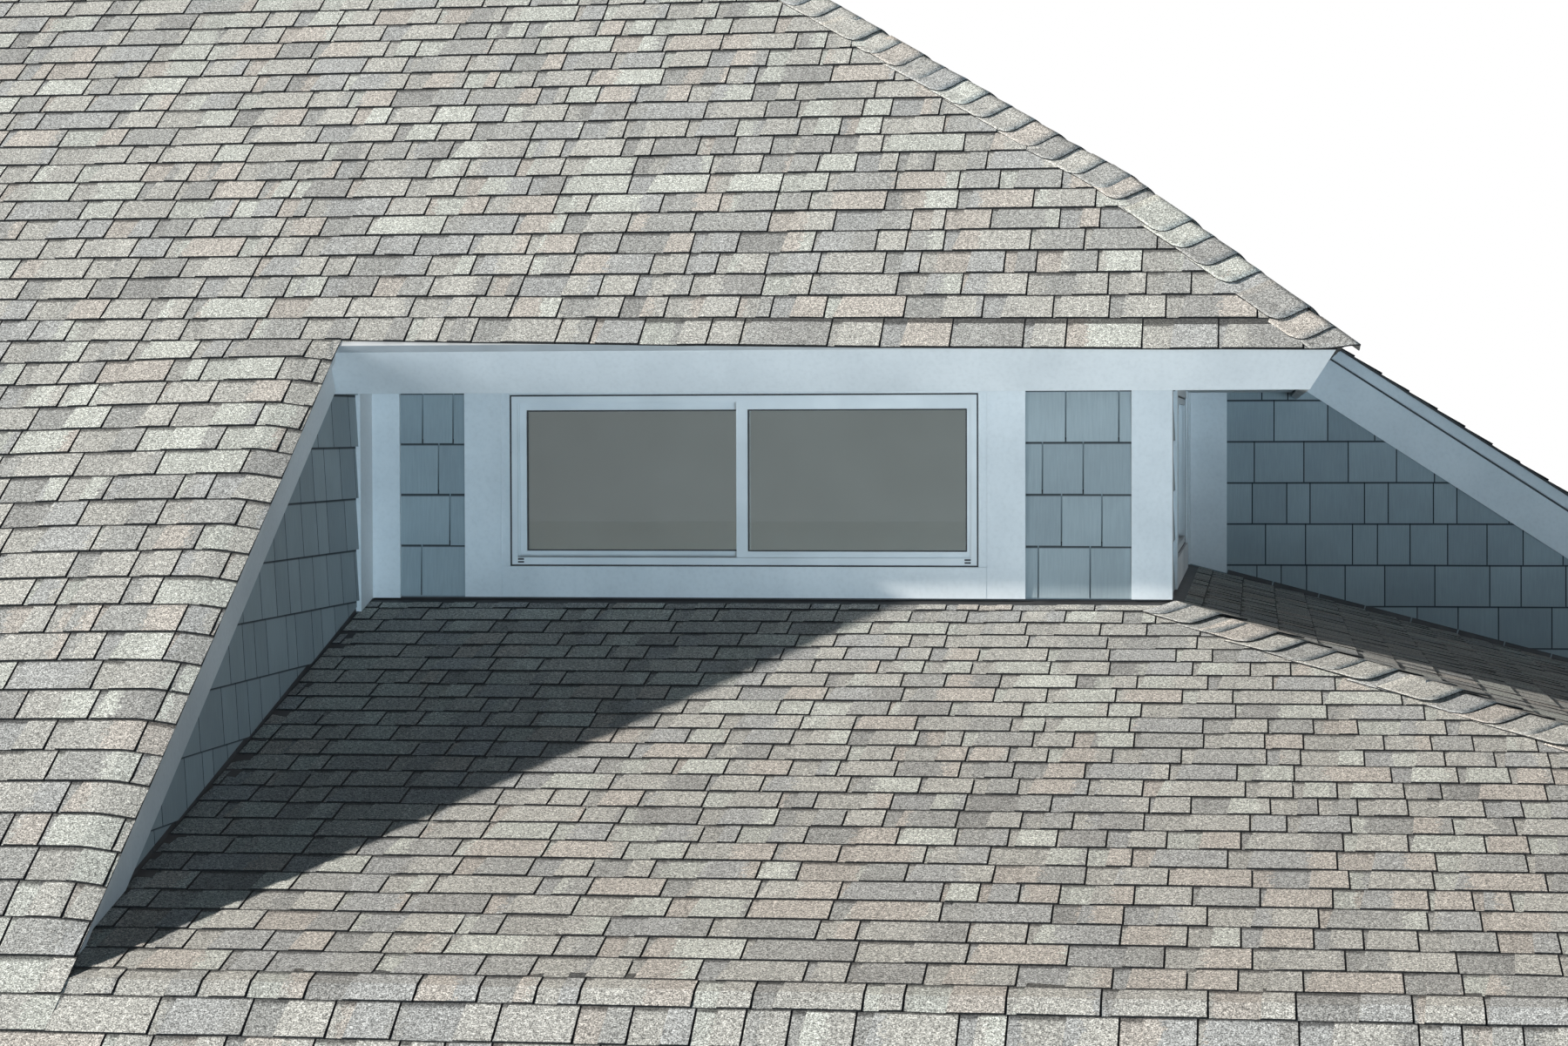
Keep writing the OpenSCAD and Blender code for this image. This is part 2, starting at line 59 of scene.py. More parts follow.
# Places taken from the frame
CORNER = Vector(
    (
        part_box("front_window_wall")[1][0],
        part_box("front_window_wall")[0][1],
        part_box("front_lower_roof")[1][2],
    )
)
LEFT_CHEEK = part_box("front_window_wall")[0][0] - CORNER.x
RIGHT_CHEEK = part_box("side_window_wall")[1][1] - CORNER.y
LEFT_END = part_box("left_end_wall")[0][0] - CORNER.x
BACK_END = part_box("back_end_wall")[1][1] - CORNER.y
FRONT_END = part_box("front_curb")[0][1] - CORNER.y
RIGHT_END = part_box("side_curb")[1][0] - CORNER.x
FRONT_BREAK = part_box("front_lower_roof")[0][1] - CORNER.y
SIDE_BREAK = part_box("side_lower_roof")[1][0] - CORNER.x
CASING_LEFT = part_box("front_window_casing")[0][0] - CORNER.x
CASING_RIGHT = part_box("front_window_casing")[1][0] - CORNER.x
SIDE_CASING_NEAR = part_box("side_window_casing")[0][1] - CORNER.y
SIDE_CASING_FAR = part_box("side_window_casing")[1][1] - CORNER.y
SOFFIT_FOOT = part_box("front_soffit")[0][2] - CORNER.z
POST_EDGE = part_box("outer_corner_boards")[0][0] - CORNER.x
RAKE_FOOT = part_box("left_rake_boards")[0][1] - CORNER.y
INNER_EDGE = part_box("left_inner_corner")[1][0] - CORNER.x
MAIN_COS = math.cos(math.atan(MAIN_RISE))
EAVE_SLOPE = MAIN_RISE + MAIN_RISE * SIDE_SHIFT / (EAVE_OUT + WALL_THICKNESS)
HIP_TURN = (-WALL_THICKNESS, WALL_THICKNESS + SIDE_SHIFT)
BREAK_NEAR = (-FRONT_BREAK, FRONT_BREAK)
BREAK_FAR = (SIDE_BREAK, SIDE_SHIFT - SIDE_BREAK)

# Roof shingles
MAIN_EXPOSURE = 0.1411
LOWER_EXPOSURE = 0.1365
MAIN_FIRST = 0.010
LOWER_FIRST = 0.255
APRON = 0.056
# Siding shingles
SIDING_EXPOSURE = 0.1804
FRONT_SIDING_FIRST = 0.0115
CHEEK_SIDING_FIRST = 0.001
SIDING_FOOT = 0.024
# How far laid shingles reach past the edges of their planes
LIP = 0.030
RAKE_LIP = 0.060
EAVE_LIP = 0.045
SIDE_EAVE_LIP = 0.040
# The gap beside the cheeks, and how far the foot shingles run in under the lower roof
CHEEK_GAP = 0.008
BREAK_REACH = 0.10


def new_tree(name, inputs):
    """A Geometry Nodes tree with inputs named by kind, which gives one geometry."""
    tree = bpy.data.node_groups.new(name, "GeometryNodeTree")
    for kind, labels in inputs.items():
        for label in labels:
            tree.interface.new_socket(label, in_out="INPUT", socket_type="NodeSocket" + kind)
    tree.interface.new_socket("Geometry", in_out="OUTPUT", socket_type="NodeSocketGeometry")
    result = tree.nodes.new("NodeGroupOutput").inputs[0]
    return tree, tree.nodes.new("NodeGroupInput").outputs, result


def pick(sockets, key):
    """The enabled socket with this name or number."""
    if isinstance(key, int):
        return sockets[key]
    return next(s for s in sockets if s.name == key and s.enabled)


def node(tree, kind, inputs=None, **settings):
    made = tree.nodes.new(kind)
    for key, value in settings.items():
        setattr(made, key, value)
    for key, value in (inputs or {}).items():
        socket = pick(made.inputs, key)
        if isinstance(value, bpy.types.NodeSocket):
            tree.links.new(value, socket)
        else:
            socket.default_value = value
    return made


def out(made, key=0):
    return pick(made.outputs, key)


def maths(tree, operation, a, b=0.0, c=0.0):
    return node(tree, "ShaderNodeMath", {0: a, 1: b, 2: c}, operation=operation).outputs[0]


def combined(tree, x=0.0, y=0.0, z=0.0):
    """One vector from three values."""
    return out(node(tree, "ShaderNodeCombineXYZ", {0: x, 1: y, 2: z}))


def split(tree, vector):
    """The three values of a vector."""
    return node(tree, "ShaderNodeSeparateXYZ", {0: vector}).outputs


def position(tree):
    """The three coordinates of each point of the geometry."""
    return split(tree, out(node(tree, "GeometryNodeInputPosition")))


def stored(tree, geometry, name, value, domain):
    """The geometry with a named value on each point, face or copy."""
    made = node(
        tree,
        "GeometryNodeStoreNamedAttribute",
        {"Geometry": geometry, "Name": name, "Value": value},
        data_type="FLOAT",
        domain=domain,
    )
    return out(made)


def chance(tree, low, high, who, seed, kind="FLOAT"):
    """A random value between two others for each number, fixed by the seed."""
    inputs = {"Min": low, "Max": high, "ID": who, "Seed": seed}
    return out(node(tree, "FunctionNodeRandomValue", inputs, data_type=kind), "Value")


# Shingle courses in Geometry Nodes
HEAD_THINNING = 0.85
JOINT_THICKNESS_SHARE = 0.6
LOWER_BOARD_LAP = 0.02
COURSE_INPUTS = {
    "Int": ("Courses", "Cells", "Seed"),
    "Float": (
        "Exposure", "Lap", "Narrowest", "Widest", "Lower thickness", "Tab thickness",
        "Lower share", "Tab slant", "Joint", "Waver",
    ),
    "Material": ("Material",),
}


def unit_shingle(tree, slant):
    """A board from 0 to 1 on every axis, thinner at its head, with a slanted left side."""
    cube = node(tree, "GeometryNodeMeshCube", {"Size": (1.0, 1.0, 1.0)})
    moved = node(
        tree, "GeometryNodeTransform", {"Geometry": out(cube), "Translation": (0.5, 0.5, 0.5)}
    )
    normal = split(tree, out(node(tree, "GeometryNodeInputNormal")))
    butt = maths(tree, "LESS_THAN", normal[1], -0.5)
    side = maths(tree, "GREATER_THAN", maths(tree, "ABSOLUTE", normal[0]), 0.5)
    # Butts and sides are marked as edges, which the materials darken: on the roof the asphalt's own
    # edge with painted shade, on the siding painted shade
    marked = stored(tree, out(moved), "edge", maths(tree, "MAXIMUM", butt, side), "FACE")
    at = position(tree)
    lean = maths(tree, "MULTIPLY", maths(tree, "SUBTRACT", 1.0, at[0]), at[1])
    thin = maths(tree, "MULTIPLY", at[2], at[1])
    offset = combined(
        tree,
        maths(tree, "MULTIPLY", lean, slant),
        0.0,
        maths(tree, "MULTIPLY", thin, -HEAD_THINNING),
    )
    return out(node(tree, "GeometryNodeSetPosition", {"Geometry": marked, "Offset": offset}))


def build_course_tree():
    """Courses of shingles in cells: a lower board, a raised tab and a dark joint in each, which also
    paints the shadow beside the tab.
    """
    tree, given, result = new_tree("shingle courses", COURSE_INPUTS)

    def drawn(low, high, who, shift):
        return chance(tree, low, high, who, maths(tree, "ADD", given["Seed"], shift))

    total = maths(tree, "MULTIPLY", given["Courses"], given["Cells"])
    line = node(tree, "GeometryNodeMeshLine", {"Count": total})
    index = out(node(tree, "GeometryNodeInputIndex"))
    row = maths(tree, "FLOOR", maths(tree, "DIVIDE", index, given["Cells"]))
    width = drawn(given["Narrowest"], given["Widest"], index, 0.0)
    running = node(
        tree, "GeometryNodeAccumulateField", {"Value": width, "Group ID": row}, data_type="FLOAT"
    )
    start = maths(tree, "MULTIPLY", given["Widest"], drawn(-1.0, 0.0, row, 11.0))
    x = maths(tree, "ADD", out(running, "Trailing"), start)
    y = maths(tree, "MULTIPLY", row, given["Exposure"])
    placed = node(
        tree, "GeometryNodeSetPosition", {"Geometry": out(line), "Position": combined(tree, x, y)}
    )
    # A cell may have no lower board at all
    free = maths(tree, "MAXIMUM", drawn(-0.35, 1.0, index, 23.0), 0.0)
    lower = maths(tree, "MULTIPLY", width, maths(tree, "MULTIPLY", given["Lower share"], free))
    raised = maths(tree, "SUBTRACT", maths(tree, "SUBTRACT", width, lower), given["Joint"])
    length = maths(tree, "ADD", given["Exposure"], given["Lap"])
    joint_from = maths(tree, "SUBTRACT", width, given["Joint"])
    joint_thickness = maths(tree, "MULTIPLY", given["Lower thickness"], JOINT_THICKNESS_SHARE)

    def boards(shape, from_x, wide, thick, tone, layer):
        size = combined(tree, wide, length, thick)
        made = node(
            tree,
            "GeometryNodeInstanceOnPoints",
            {"Points": out(placed), "Instance": shape, "Scale": size},
        )
        shift = {"Instances": out(made), "Translation": combined(tree, from_x), "Local Space": False}
        geometry = out(node(tree, "GeometryNodeTranslateInstances", shift))
        for label, value in (("tone", tone), ("layer", layer), ("course", row)):
            geometry = stored(tree, geometry, label, value, "INSTANCE")
        return geometry

    straight = unit_shingle(tree, 0.0)
    slanted = unit_shingle(tree, given["Tab slant"])
    lower_width = maths(tree, "ADD", lower, LOWER_BOARD_LAP)
    lower_tone = drawn(0.0, 1.0, index, 31.0)
    tab_tone = drawn(0.0, 1.0, index, 47.0)
    # The third board is the dark joint, painted as the shadow that each raised tab casts beside it
    joined = tree.nodes.new("GeometryNodeJoinGeometry")
    for part in (
        boards(straight, 0.0, lower_width, given["Lower thickness"], lower_tone, 0.0),
        boards(slanted, lower, raised, given["Tab thickness"], tab_tone, 1.0),
        boards(straight, joint_from, given["Joint"], joint_thickness, -1.0, 0.0),
    ):
        tree.links.new(part, joined.inputs[0])
    real = out(node(tree, "GeometryNodeRealizeInstances", {0: out(joined)}))
    at = position(tree)
    course = node(tree, "GeometryNodeInputNamedAttribute", {"Name": "course"}, data_type="FLOAT")
    upward = maths(tree, "SUBTRACT", maths(tree, "DIVIDE", at[1], given["Exposure"]), out(course))
    real = stored(tree, real, "along", at[0], "POINT")
    real = stored(tree, real, "upward", upward, "POINT")
    waves = node(tree, "ShaderNodeTexNoise", {"Scale": 4.0, "Detail": 2.0})
    centred = node(
        tree,
        "ShaderNodeVectorMath",
        {0: out(waves, "Color"), 1: (0.5, 0.5, 0.5)},
        operation="SUBTRACT",
    )
    waver = given["Waver"]
    reach = combined(tree, waver, maths(tree, "MULTIPLY", waver, 2.0), waver)
    shift = node(tree, "ShaderNodeVectorMath", {0: out(centred), 1: reach}, operation="MULTIPLY")
    uneven = node(tree, "GeometryNodeSetPosition", {"Geometry": real, "Offset": out(shift)})
    done = {"Geometry": out(uneven), "Material": given["Material"]}
    tree.links.new(out(node(tree, "GeometryNodeSetMaterial", done)), result)
    return tree


COURSES = build_course_tree()


# Meshes and pieces
def in_scene(name, data):
    """A new object in the scene, with the given mesh, lamp or camera."""
    made = bpy.data.objects.new(name, data)
    bpy.context.scene.collection.objects.link(made)
    return made


def baked(name, tree, values):
    """The plain mesh that a tree makes with these input values."""
    holder = in_scene(name + "_holder", bpy.data.meshes.new(name + "_start"))
    modifier = holder.modifiers.new("pattern", "NODES")
    modifier.node_group = tree
    for socket in tree.interface.items_tree:
        if socket.in_out == "INPUT" and socket.name in values:
            modifier[socket.identifier] = values[socket.name]
    made = holder.evaluated_get(bpy.context.evaluated_depsgraph_get())
    mesh = bpy.data.meshes.new_from_object(made)
    holder.modifiers.clear()
    bpy.data.objects.remove(holder)
    return mesh


def mesh_from(name, bm, finish=None):
    """A new mesh with what was built in bm."""
    mesh = bpy.data.meshes.new(name)
    bm.to_mesh(mesh)
    bm.free()
    if finish:
        mesh.materials.append(finish)
    return mesh


def axes(origin, along, up):
    """Matrix from a face's own axes to the row frame."""
    x = Vector(along)
    y = Vector(up).normalized()
    z = x.cross(y)
    m = Matrix((x, y, z)).transposed().to_4x4()
    m.translation = CORNER + Vector(origin)
    return m


def front_slope(origin, rise):
    return axes(origin, (1, 0, 0), (0, 1, rise))


def side_slope(origin, rise):
    return axes(origin, (0, 1, 0), (-1, 0, rise))


def cut_by(bm, point, normal, clear=True):
    """Cuts the mesh at a plane, takes away what lies beyond it and closes the cut."""
    geometry = bm.verts[:] + bm.edges[:] + bm.faces[:]
    made = bmesh.ops.bisect_plane(
        bm, geom=geometry, plane_co=point, plane_no=normal, dist=1e-6, clear_outer=clear
    )
    if clear:
        edges = [e for e in made["geom_cut"] if isinstance(e, bmesh.types.BMEdge)]
        closed = bmesh.ops.holes_fill(bm, edges=[e for e in edges if e.is_boundary], sides=0)
        # Faces that close a cut count as edges, which the materials darken: on the roof the asphalt's
        # own edge with painted shade, on the siding painted shade
        rim = bm.faces.layers.float.get("edge")
        if rim:
            for face in closed["faces"]:
                face[rim] = 1.0


def cut_to_plan(bm, plan):
    """Keeps what lies over a convex plan, given in order round the corner of the walls."""
    area = sum(a[0] * b[1] - b[0] * a[1] for a, b in zip(plan, plan[1:] + plan[:1]))
    turn = 1 if area > 0 else -1
    for a, b in zip(plan, plan[1:] + plan[:1]):
        edge = Vector((b[0] - a[0], b[1] - a[1], 0)) * turn
        cut_by(bm, CORNER + Vector((a[0], a[1], 0)), Vector((edge.y, -edge.x, 0)).normalized())


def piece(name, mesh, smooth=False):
    made = in_scene(name, mesh)
    for face in mesh.polygons:
        face.use_smooth = smooth
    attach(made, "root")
    return made


def shingled(name, place, x_range, y_range, plan, slot_name, values, cuts=(), bend=None, slide=None):
    """A field of shingles on one face, cut to its outline."""
    (x0, x1), (y0, y1) = x_range, y_range
    middle = (values["Narrowest"] + values["Widest"]) / 2
    values = {
        **values,
        "Cells": int((x1 - x0 + values["Widest"]) / middle * 1.2) + 6,
        "Courses": int(math.floor((y1 - y0) / values["Exposure"] + 0.01)) + 1,
    }
    mesh = baked(name, COURSES, values)
    mesh.transform(place @ Matrix.Translation((x0, y0, 0)))
    bm = bmesh.new()
    bm.from_mesh(mesh)
    if plan:
        cut_to_plan(bm, plan)
    for point, normal, clear in cuts:
        cut_by(bm, CORNER + Vector(point), Vector(normal), clear)
    if slide:
        downhill = place.to_3x3() @ Vector((0, 1, 0))
        for v in bm.verts:
            v.co += downhill * slide(v.co - CORNER)
    if bend:
        for v in bm.verts:
            v.co.z += bend(v.co - CORNER)
    bm.to_mesh(mesh)
    bm.free()
    mesh.name = name
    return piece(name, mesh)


# Materials
DEEP_SHADE = (0.012, 0.012, 0.013, 1)
SIDING_SHADE = (0.012, 0.016, 0.02, 1)
GROOVE_SHADE = (0.02, 0.022, 0.026, 1)
# Shades of the granules, each with the place between 0 and 1 where it begins
GRANULES = (
    (0.0, (0.31, 0.305, 0.295)),
    (0.07, (0.345, 0.342, 0.33)),
    (0.18, (0.37, 0.37, 0.365)),
    (0.32, (0.405, 0.395, 0.372)),
    (0.52, (0.44, 0.405, 0.372)),
    (0.64, (0.435, 0.423, 0.395)),
    (0.82, (0.455, 0.46, 0.428)),
    (0.94, (0.50, 0.505, 0.47)),
)
SIDING_PAINT = ((0.0, (0.27, 0.315, 0.335)), (0.5, (0.31, 0.36, 0.38)), (1.0, (0.34, 0.39, 0.41)))
TRIM_PAINT = ((0.35, (0.62, 0.64, 0.655)), (0.65, (0.76, 0.775, 0.785)))
PLASTIC_WHITE = ((0.3, (0.66, 0.68, 0.69)), (0.7, (0.76, 0.775, 0.785)))
FLASHING_DARK = ((0.3, (0.018, 0.018, 0.02)), (0.75, (0.05, 0.05, 0.052)))
DRIP_GREY = ((0.3, (0.5, 0.52, 0.54)), (0.7, (0.62, 0.64, 0.66)))
BOARDING_BROWN = ((0.3, (0.265, 0.252, 0.228)), (0.7, (0.34, 0.328, 0.303)))
ROOM_PAINT = ((0.3, (0.60, 0.62, 0.60)), (0.7, (0.66, 0.68, 0.66)))
# The painted shadow line under the narrow board of the right rake, measured down from the roof plane
RAKE_SHADOW_LINE_DEPTH = 0.0725
RAKE_SHADOW_LINE_HALF = 0.0045


def material(name):
    made = bpy.data.materials.new(name)
    made.use_nodes = True
    tree = made.node_tree
    tree.nodes.clear()
    end = tree.nodes.new("ShaderNodeOutputMaterial")
    shader = tree.nodes.new("ShaderNodeBsdfPrincipled")
    tree.links.new(shader.outputs[0], end.inputs[0])
    return made, tree, shader


def painted(tree, shader, colour, roughness):
    tree.links.new(colour, shader.inputs["Base Color"])
    shader.inputs["Roughness"].default_value = roughness


def coordinates(tree):
    return tree.nodes.new("ShaderNodeTexCoord").outputs["Object"]


def noise(tree, scale, detail=3.0, stretch=(1, 1, 1), vector=None):
    mapped = node(
        tree, "ShaderNodeMapping", {"Vector": vector or coordinates(tree), "Scale": stretch}
    )
    made = node(tree, "ShaderNodeTexNoise", {"Vector": out(mapped), "Scale": scale, "Detail": detail})
    return out(made, "Fac")


def ramp(tree, factor, stops, interpolation="LINEAR"):
    made = node(tree, "ShaderNodeValToRGB", {"Fac": factor})
    bar = made.color_ramp
    bar.interpolation = interpolation
    while len(bar.elements) < len(stops):
        bar.elements.new(0.5)
    for element, (place, colour) in zip(bar.elements, stops):
        element.position = place
        element.color = (*colour, 1)
    return made.outputs["Color"]


def mix(tree, factor, a, b, blend="MIX"):
    inputs = {0: factor, 6: a, 7: b}
    return node(tree, "ShaderNodeMix", inputs, data_type="RGBA", blend_type=blend).outputs[2]


def times(tree, a, b):
    return mix(tree, 1.0, a, b, "MULTIPLY")


def greys(tree, factor, *stops):
    """Greys by which a colour is made darker or lighter."""
    return ramp(tree, factor, [(place, (value, value, value)) for place, value in stops])


def attribute(tree, name):
    return node(tree, "ShaderNodeAttribute", attribute_name=name).outputs["Fac"]


def bump(tree, shader, height, distance, strength=1.0):
    made = node(
        tree, "ShaderNodeBump", {"Height": height, "Distance": distance, "Strength": strength}
    )
    tree.links.new(made.outputs[0], shader.inputs["Normal"])


def new_group(name, inputs, outputs):
    """A shader node group with its own inputs and outputs."""
    group = bpy.data.node_groups.new(name, "ShaderNodeTree")
    for label, kind in inputs:
        group.interface.new_socket(label, in_out="INPUT", socket_type="NodeSocket" + kind)
    for label, kind in outputs:
        group.interface.new_socket(label, in_out="OUTPUT", socket_type="NodeSocket" + kind)
    return group, group.nodes.new("NodeGroupInput").outputs, group.nodes.new("NodeGroupOutput").inputs


def use_group(tree, group, inputs):
    return node(tree, "ShaderNodeGroup", inputs, node_tree=group).outputs


def mineral_group():
    """Granules of several shades in blotches along each course."""
    group, given, result = new_group(
        "mineral granules",
        (("Place", "Float"), ("Darken", "Float")),
        (("Color", "Color"), ("Grain", "Float")),
    )
    ragged = maths(group, "MULTIPLY", maths(group, "SUBTRACT", noise(group, 55.0, 4.0), 0.5), 0.5)
    blotch = node(
        group,
        "ShaderNodeTexVoronoi",
        {"W": maths(group, "ADD", given["Place"], ragged), "Scale": 1.0, "Randomness": 0.5},
        voronoi_dimensions="1D",
    )
    lot = node(group, "ShaderNodeSeparateColor", {0: out(blotch, "Color")}).outputs[0]
    shade = ramp(group, lot, GRANULES, "CONSTANT")
    grain = noise(group, 260.0, 2.0)
    speck = greys(group, grain, (0.32, 0.22), (0.5, 1.0), (0.68, 1.95))
    clump = greys(group, noise(group, 105.0, 1.0), (0.3, 0.66), (0.7, 1.34))
    worn = greys(group, noise(group, 3.0, 3.0), (0.3, 0.93), (0.7, 1.06))
    shade = times(group, times(group, shade, times(group, speck, clump)), worn)
    group.links.new(mix(group, given["Darken"], shade, DEEP_SHADE), result["Color"])
    group.links.new(grain, result["Grain"])
    return group


MINERAL = mineral_group()


def roof_material():
    """Granules in blotches along each course; dark joints and edges that also stand for shade, painted
    shade on the recessed boards and a painted shadow under each butt.
    """
    made, tree, shader = material("mineral_shingles")
    tone = attribute(tree, "tone")
    layer = attribute(tree, "layer")
    upward = attribute(tree, "upward")
    # Each course, layer and board reads the blotches at a place of its own
    place = maths(tree, "MULTIPLY", attribute(tree, "along"), 4.6)
    place = maths(tree, "MULTIPLY_ADD", tone, 57.0, place)
    place = maths(tree, "MULTIPLY_ADD", attribute(tree, "course"), 31.7, place)
    place = maths(tree, "MULTIPLY_ADD", layer, 17.3, place)
    # Painted shade: the dark joint boards stand for the shadow beside each raised tab, and the recessed
    # lower boards are a little darker, darker still toward their heads under the butt above, partly the
    # shingle's own printed band
    joint = maths(tree, "LESS_THAN", tone, 0.0)
    recess = maths(tree, "SUBTRACT", 1.0, layer)
    under = greys(tree, upward, (0.84, 0.0), (0.93, 0.6))
    # Painted shadow just under the butt of the course above, on every board
    shadow = greys(tree, upward, (0.945, 0.0), (0.975, 0.8))
    edges_and_painted_shade = maths(tree, "MULTIPLY_ADD", recess, 0.12, maths(tree, "MULTIPLY", recess, under))
    edges_and_painted_shade = maths(tree, "MAXIMUM", edges_and_painted_shade, shadow)
    # Edges are near black: the asphalt's own cut edge, darkened further as the shade along each butt
    edges_and_painted_shade = maths(tree, "MAXIMUM", maths(tree, "MULTIPLY", attribute(tree, "edge"), 0.97), edges_and_painted_shade)
    edges_and_painted_shade = maths(tree, "MAXIMUM", edges_and_painted_shade, joint)
    given = use_group(tree, MINERAL, {"Place": place, "Darken": edges_and_painted_shade})
    painted(tree, shader, given["Color"], 0.93)
    shader.inputs["Specular IOR Level"].default_value = 0.2
    bump(tree, shader, given["Grain"], 0.0015, 0.7)
    return made


def underlay_material():
    made, tree, shader = material("shingle_underlay")
    place = maths(tree, "MULTIPLY", noise(tree, 2.0, 1.0), 40.0)
    given = use_group(tree, MINERAL, {"Place": place, "Darken": 0.35})
    painted(tree, shader, given["Color"], 0.93)
    return made


def siding_group():
    """Painted sawn shingles with fine upright grain; joints, sides and butts darkened as painted shade,
    and a painted shadow under each butt.
    """
    group, given, result = new_group(
        "sawn shingles",
        (("Tone", "Float"), ("Edge", "Float"), ("Upward", "Float")),
        (("Color", "Color"), ("Grain", "Float")),
    )
    grain = noise(group, 30.0, 4.0, (6, 6, 0.25))
    streak = greys(group, grain, (0.3, 0.94), (0.7, 1.05))
    stain = greys(group, noise(group, 5.0, 5.0), (0.35, 0.93), (0.65, 1.04))
    shade = times(group, times(group, ramp(group, given["Tone"], SIDING_PAINT), streak), stain)
    # Painted shade: joints, board sides and butts go dark, and a painted shadow falls just under each
    # butt
    joint = maths(group, "LESS_THAN", given["Tone"], 0.0)
    edge = maths(group, "MAXIMUM", maths(group, "MULTIPLY", given["Edge"], 0.93), joint)
    under = greys(group, given["Upward"], (0.945, 0.0), (0.968, 0.92))
    edge = maths(group, "MAXIMUM", edge, under)
    group.links.new(mix(group, edge, shade, SIDING_SHADE), result["Color"])
    group.links.new(grain, result["Grain"])
    return group


SAWN = siding_group()


def siding_material():
    made, tree, shader = material("painted_siding")
    given = use_group(
        tree, SAWN, {label: attribute(tree, label.lower()) for label in ("Tone", "Edge", "Upward")}
    )
    painted(tree, shader, given["Color"], 0.75)
    bump(tree, shader, given["Grain"], 0.002, 0.35)
    return made


def trim_material(name, groove=False):
    """Off-white paint, with a painted shadow line under the narrow board of the right rake where asked
    for.
    """
    made, tree, shader = material(name)
    dirt = ramp(tree, noise(tree, 2.2, 5.0), TRIM_PAINT)
    spots = greys(tree, noise(tree, 70.0, 5.0), (0.30, 0.95), (0.5, 1.0), (0.7, 1.02))
    paint = times(tree, dirt, spots)
    if groove:
        # Painted shadow: a dark line under the narrow board of the right rake
        at = split(tree, coordinates(tree))
        plane = CORNER.z + EAVE_HEIGHT + MAIN_RISE * (EAVE_OUT + SIDE_SHIFT + CORNER.x)
        depth = maths(tree, "MULTIPLY_ADD", at[0], MAIN_RISE, at[2])
        depth = maths(tree, "SUBTRACT", plane - RAKE_SHADOW_LINE_DEPTH, depth)
        line = maths(tree, "LESS_THAN", maths(tree, "ABSOLUTE", depth), RAKE_SHADOW_LINE_HALF)
        paint = mix(tree, line, paint, GROOVE_SHADE)
    painted(tree, shader, paint, 0.55)
    bump(tree, shader, noise(tree, 18.0, 4.0, (1, 8, 8)), 0.001, 0.35)
    return made


def plain_material(name, noise_scale, noise_detail, shades, roughness):
    made, tree, shader = material(name)
    painted(tree, shader, ramp(tree, noise(tree, noise_scale, noise_detail), shades), roughness)
    return made, tree, shader


def plastic_material():
    return plain_material("window_plastic", 6.0, 3.0, PLASTIC_WHITE, 0.38)[0]


def glass_material():
    made, tree, shader = material("window_glass")
    shader.inputs["Base Color"].default_value = (0.86, 0.93, 0.95, 1)
    shader.inputs["Roughness"].default_value = 0.0
    shader.inputs["Transmission Weight"].default_value = 1.0
    shader.inputs["IOR"].default_value = 1.5
    return made


def flashing_material():
    made, tree, shader = plain_material("dark_flashing", 14.0, 4.0, FLASHING_DARK, 0.6)
    bump(tree, shader, noise(tree, 25.0, 3.0), 0.002, 0.4)
    return made


def drip_material():
    made, tree, shader = plain_material("drip_metal", 8.0, 3.0, DRIP_GREY, 0.42)
    shader.inputs["Metallic"].default_value = 0.4
    return made


def cut_material():
    """Boarding on the cut sides of the house, and plain paint on the faces toward the room."""
    made, tree, shader = material("plain_boarding")
    boards = node(
        tree,
        "ShaderNodeTexWave",
        {"Vector": coordinates(tree), "Scale": 0.95, "Distortion": 0.0},
        wave_type="BANDS",
        bands_direction="Z",
        wave_profile="SAW",
    )
    groove = greys(tree, boards.outputs["Fac"], (0.0, 0.25), (0.04, 1.0), (1.0, 0.97))
    wood = ramp(tree, noise(tree, 12.0, 5.0, (0.4, 0.4, 8)), BOARDING_BROWN)
    at = split(tree, coordinates(tree))
    within = 1.0
    half = WALL_THICKNESS / 2
    for axis, low, high in ((0, LEFT_END, RIGHT_END), (1, FRONT_END, BACK_END)):
        above = maths(tree, "GREATER_THAN", at[axis], CORNER[axis] + low + half)
        below = maths(tree, "LESS_THAN", at[axis], CORNER[axis] + high - half)
        within = maths(tree, "MULTIPLY", within, maths(tree, "MULTIPLY", above, below))
    paint = ramp(tree, noise(tree, 3.0, 3.0), ROOM_PAINT)
    painted(tree, shader, mix(tree, within, times(tree, wood, groove), paint), 0.75)
    bump(tree, shader, maths(tree, "MAXIMUM", groove, within), 0.004, 0.5)
    return made


ROOF = roof_material()
UNDERLAY = underlay_material()
SIDING = siding_material()
TRIM = trim_material("painted_boards")
RAKE_TRIM = trim_material("rake_boards_with_painted_shadow", True)
PLASTIC = plastic_material()
GLASS = glass_material()
FLASHING = flashing_material()
DRIP = drip_material()
BOARDING = cut_material()


def dress_nodes():
    """Gives every node of the frame its finish, by its material slot in the record."""
    finish = {
        "roof_shingles": UNDERLAY,
        "siding_shingles": SIDING,
        "white_trim": TRIM,
        "window_plastic": PLASTIC,
        "window_glass": GLASS,
        "flashing_metal": FLASHING,
        "drip_metal": DRIP,
        "party_wall": BOARDING,
    }
    slots = {part["node"]: part["material_slot"] for part in frame["record"]["subparts"]}
    for name, made in frame["nodes"].items():
        made.data.materials.clear()
        made.data.materials.append(RAKE_TRIM if name == "right_rake_boards" else finish[slots[name]])


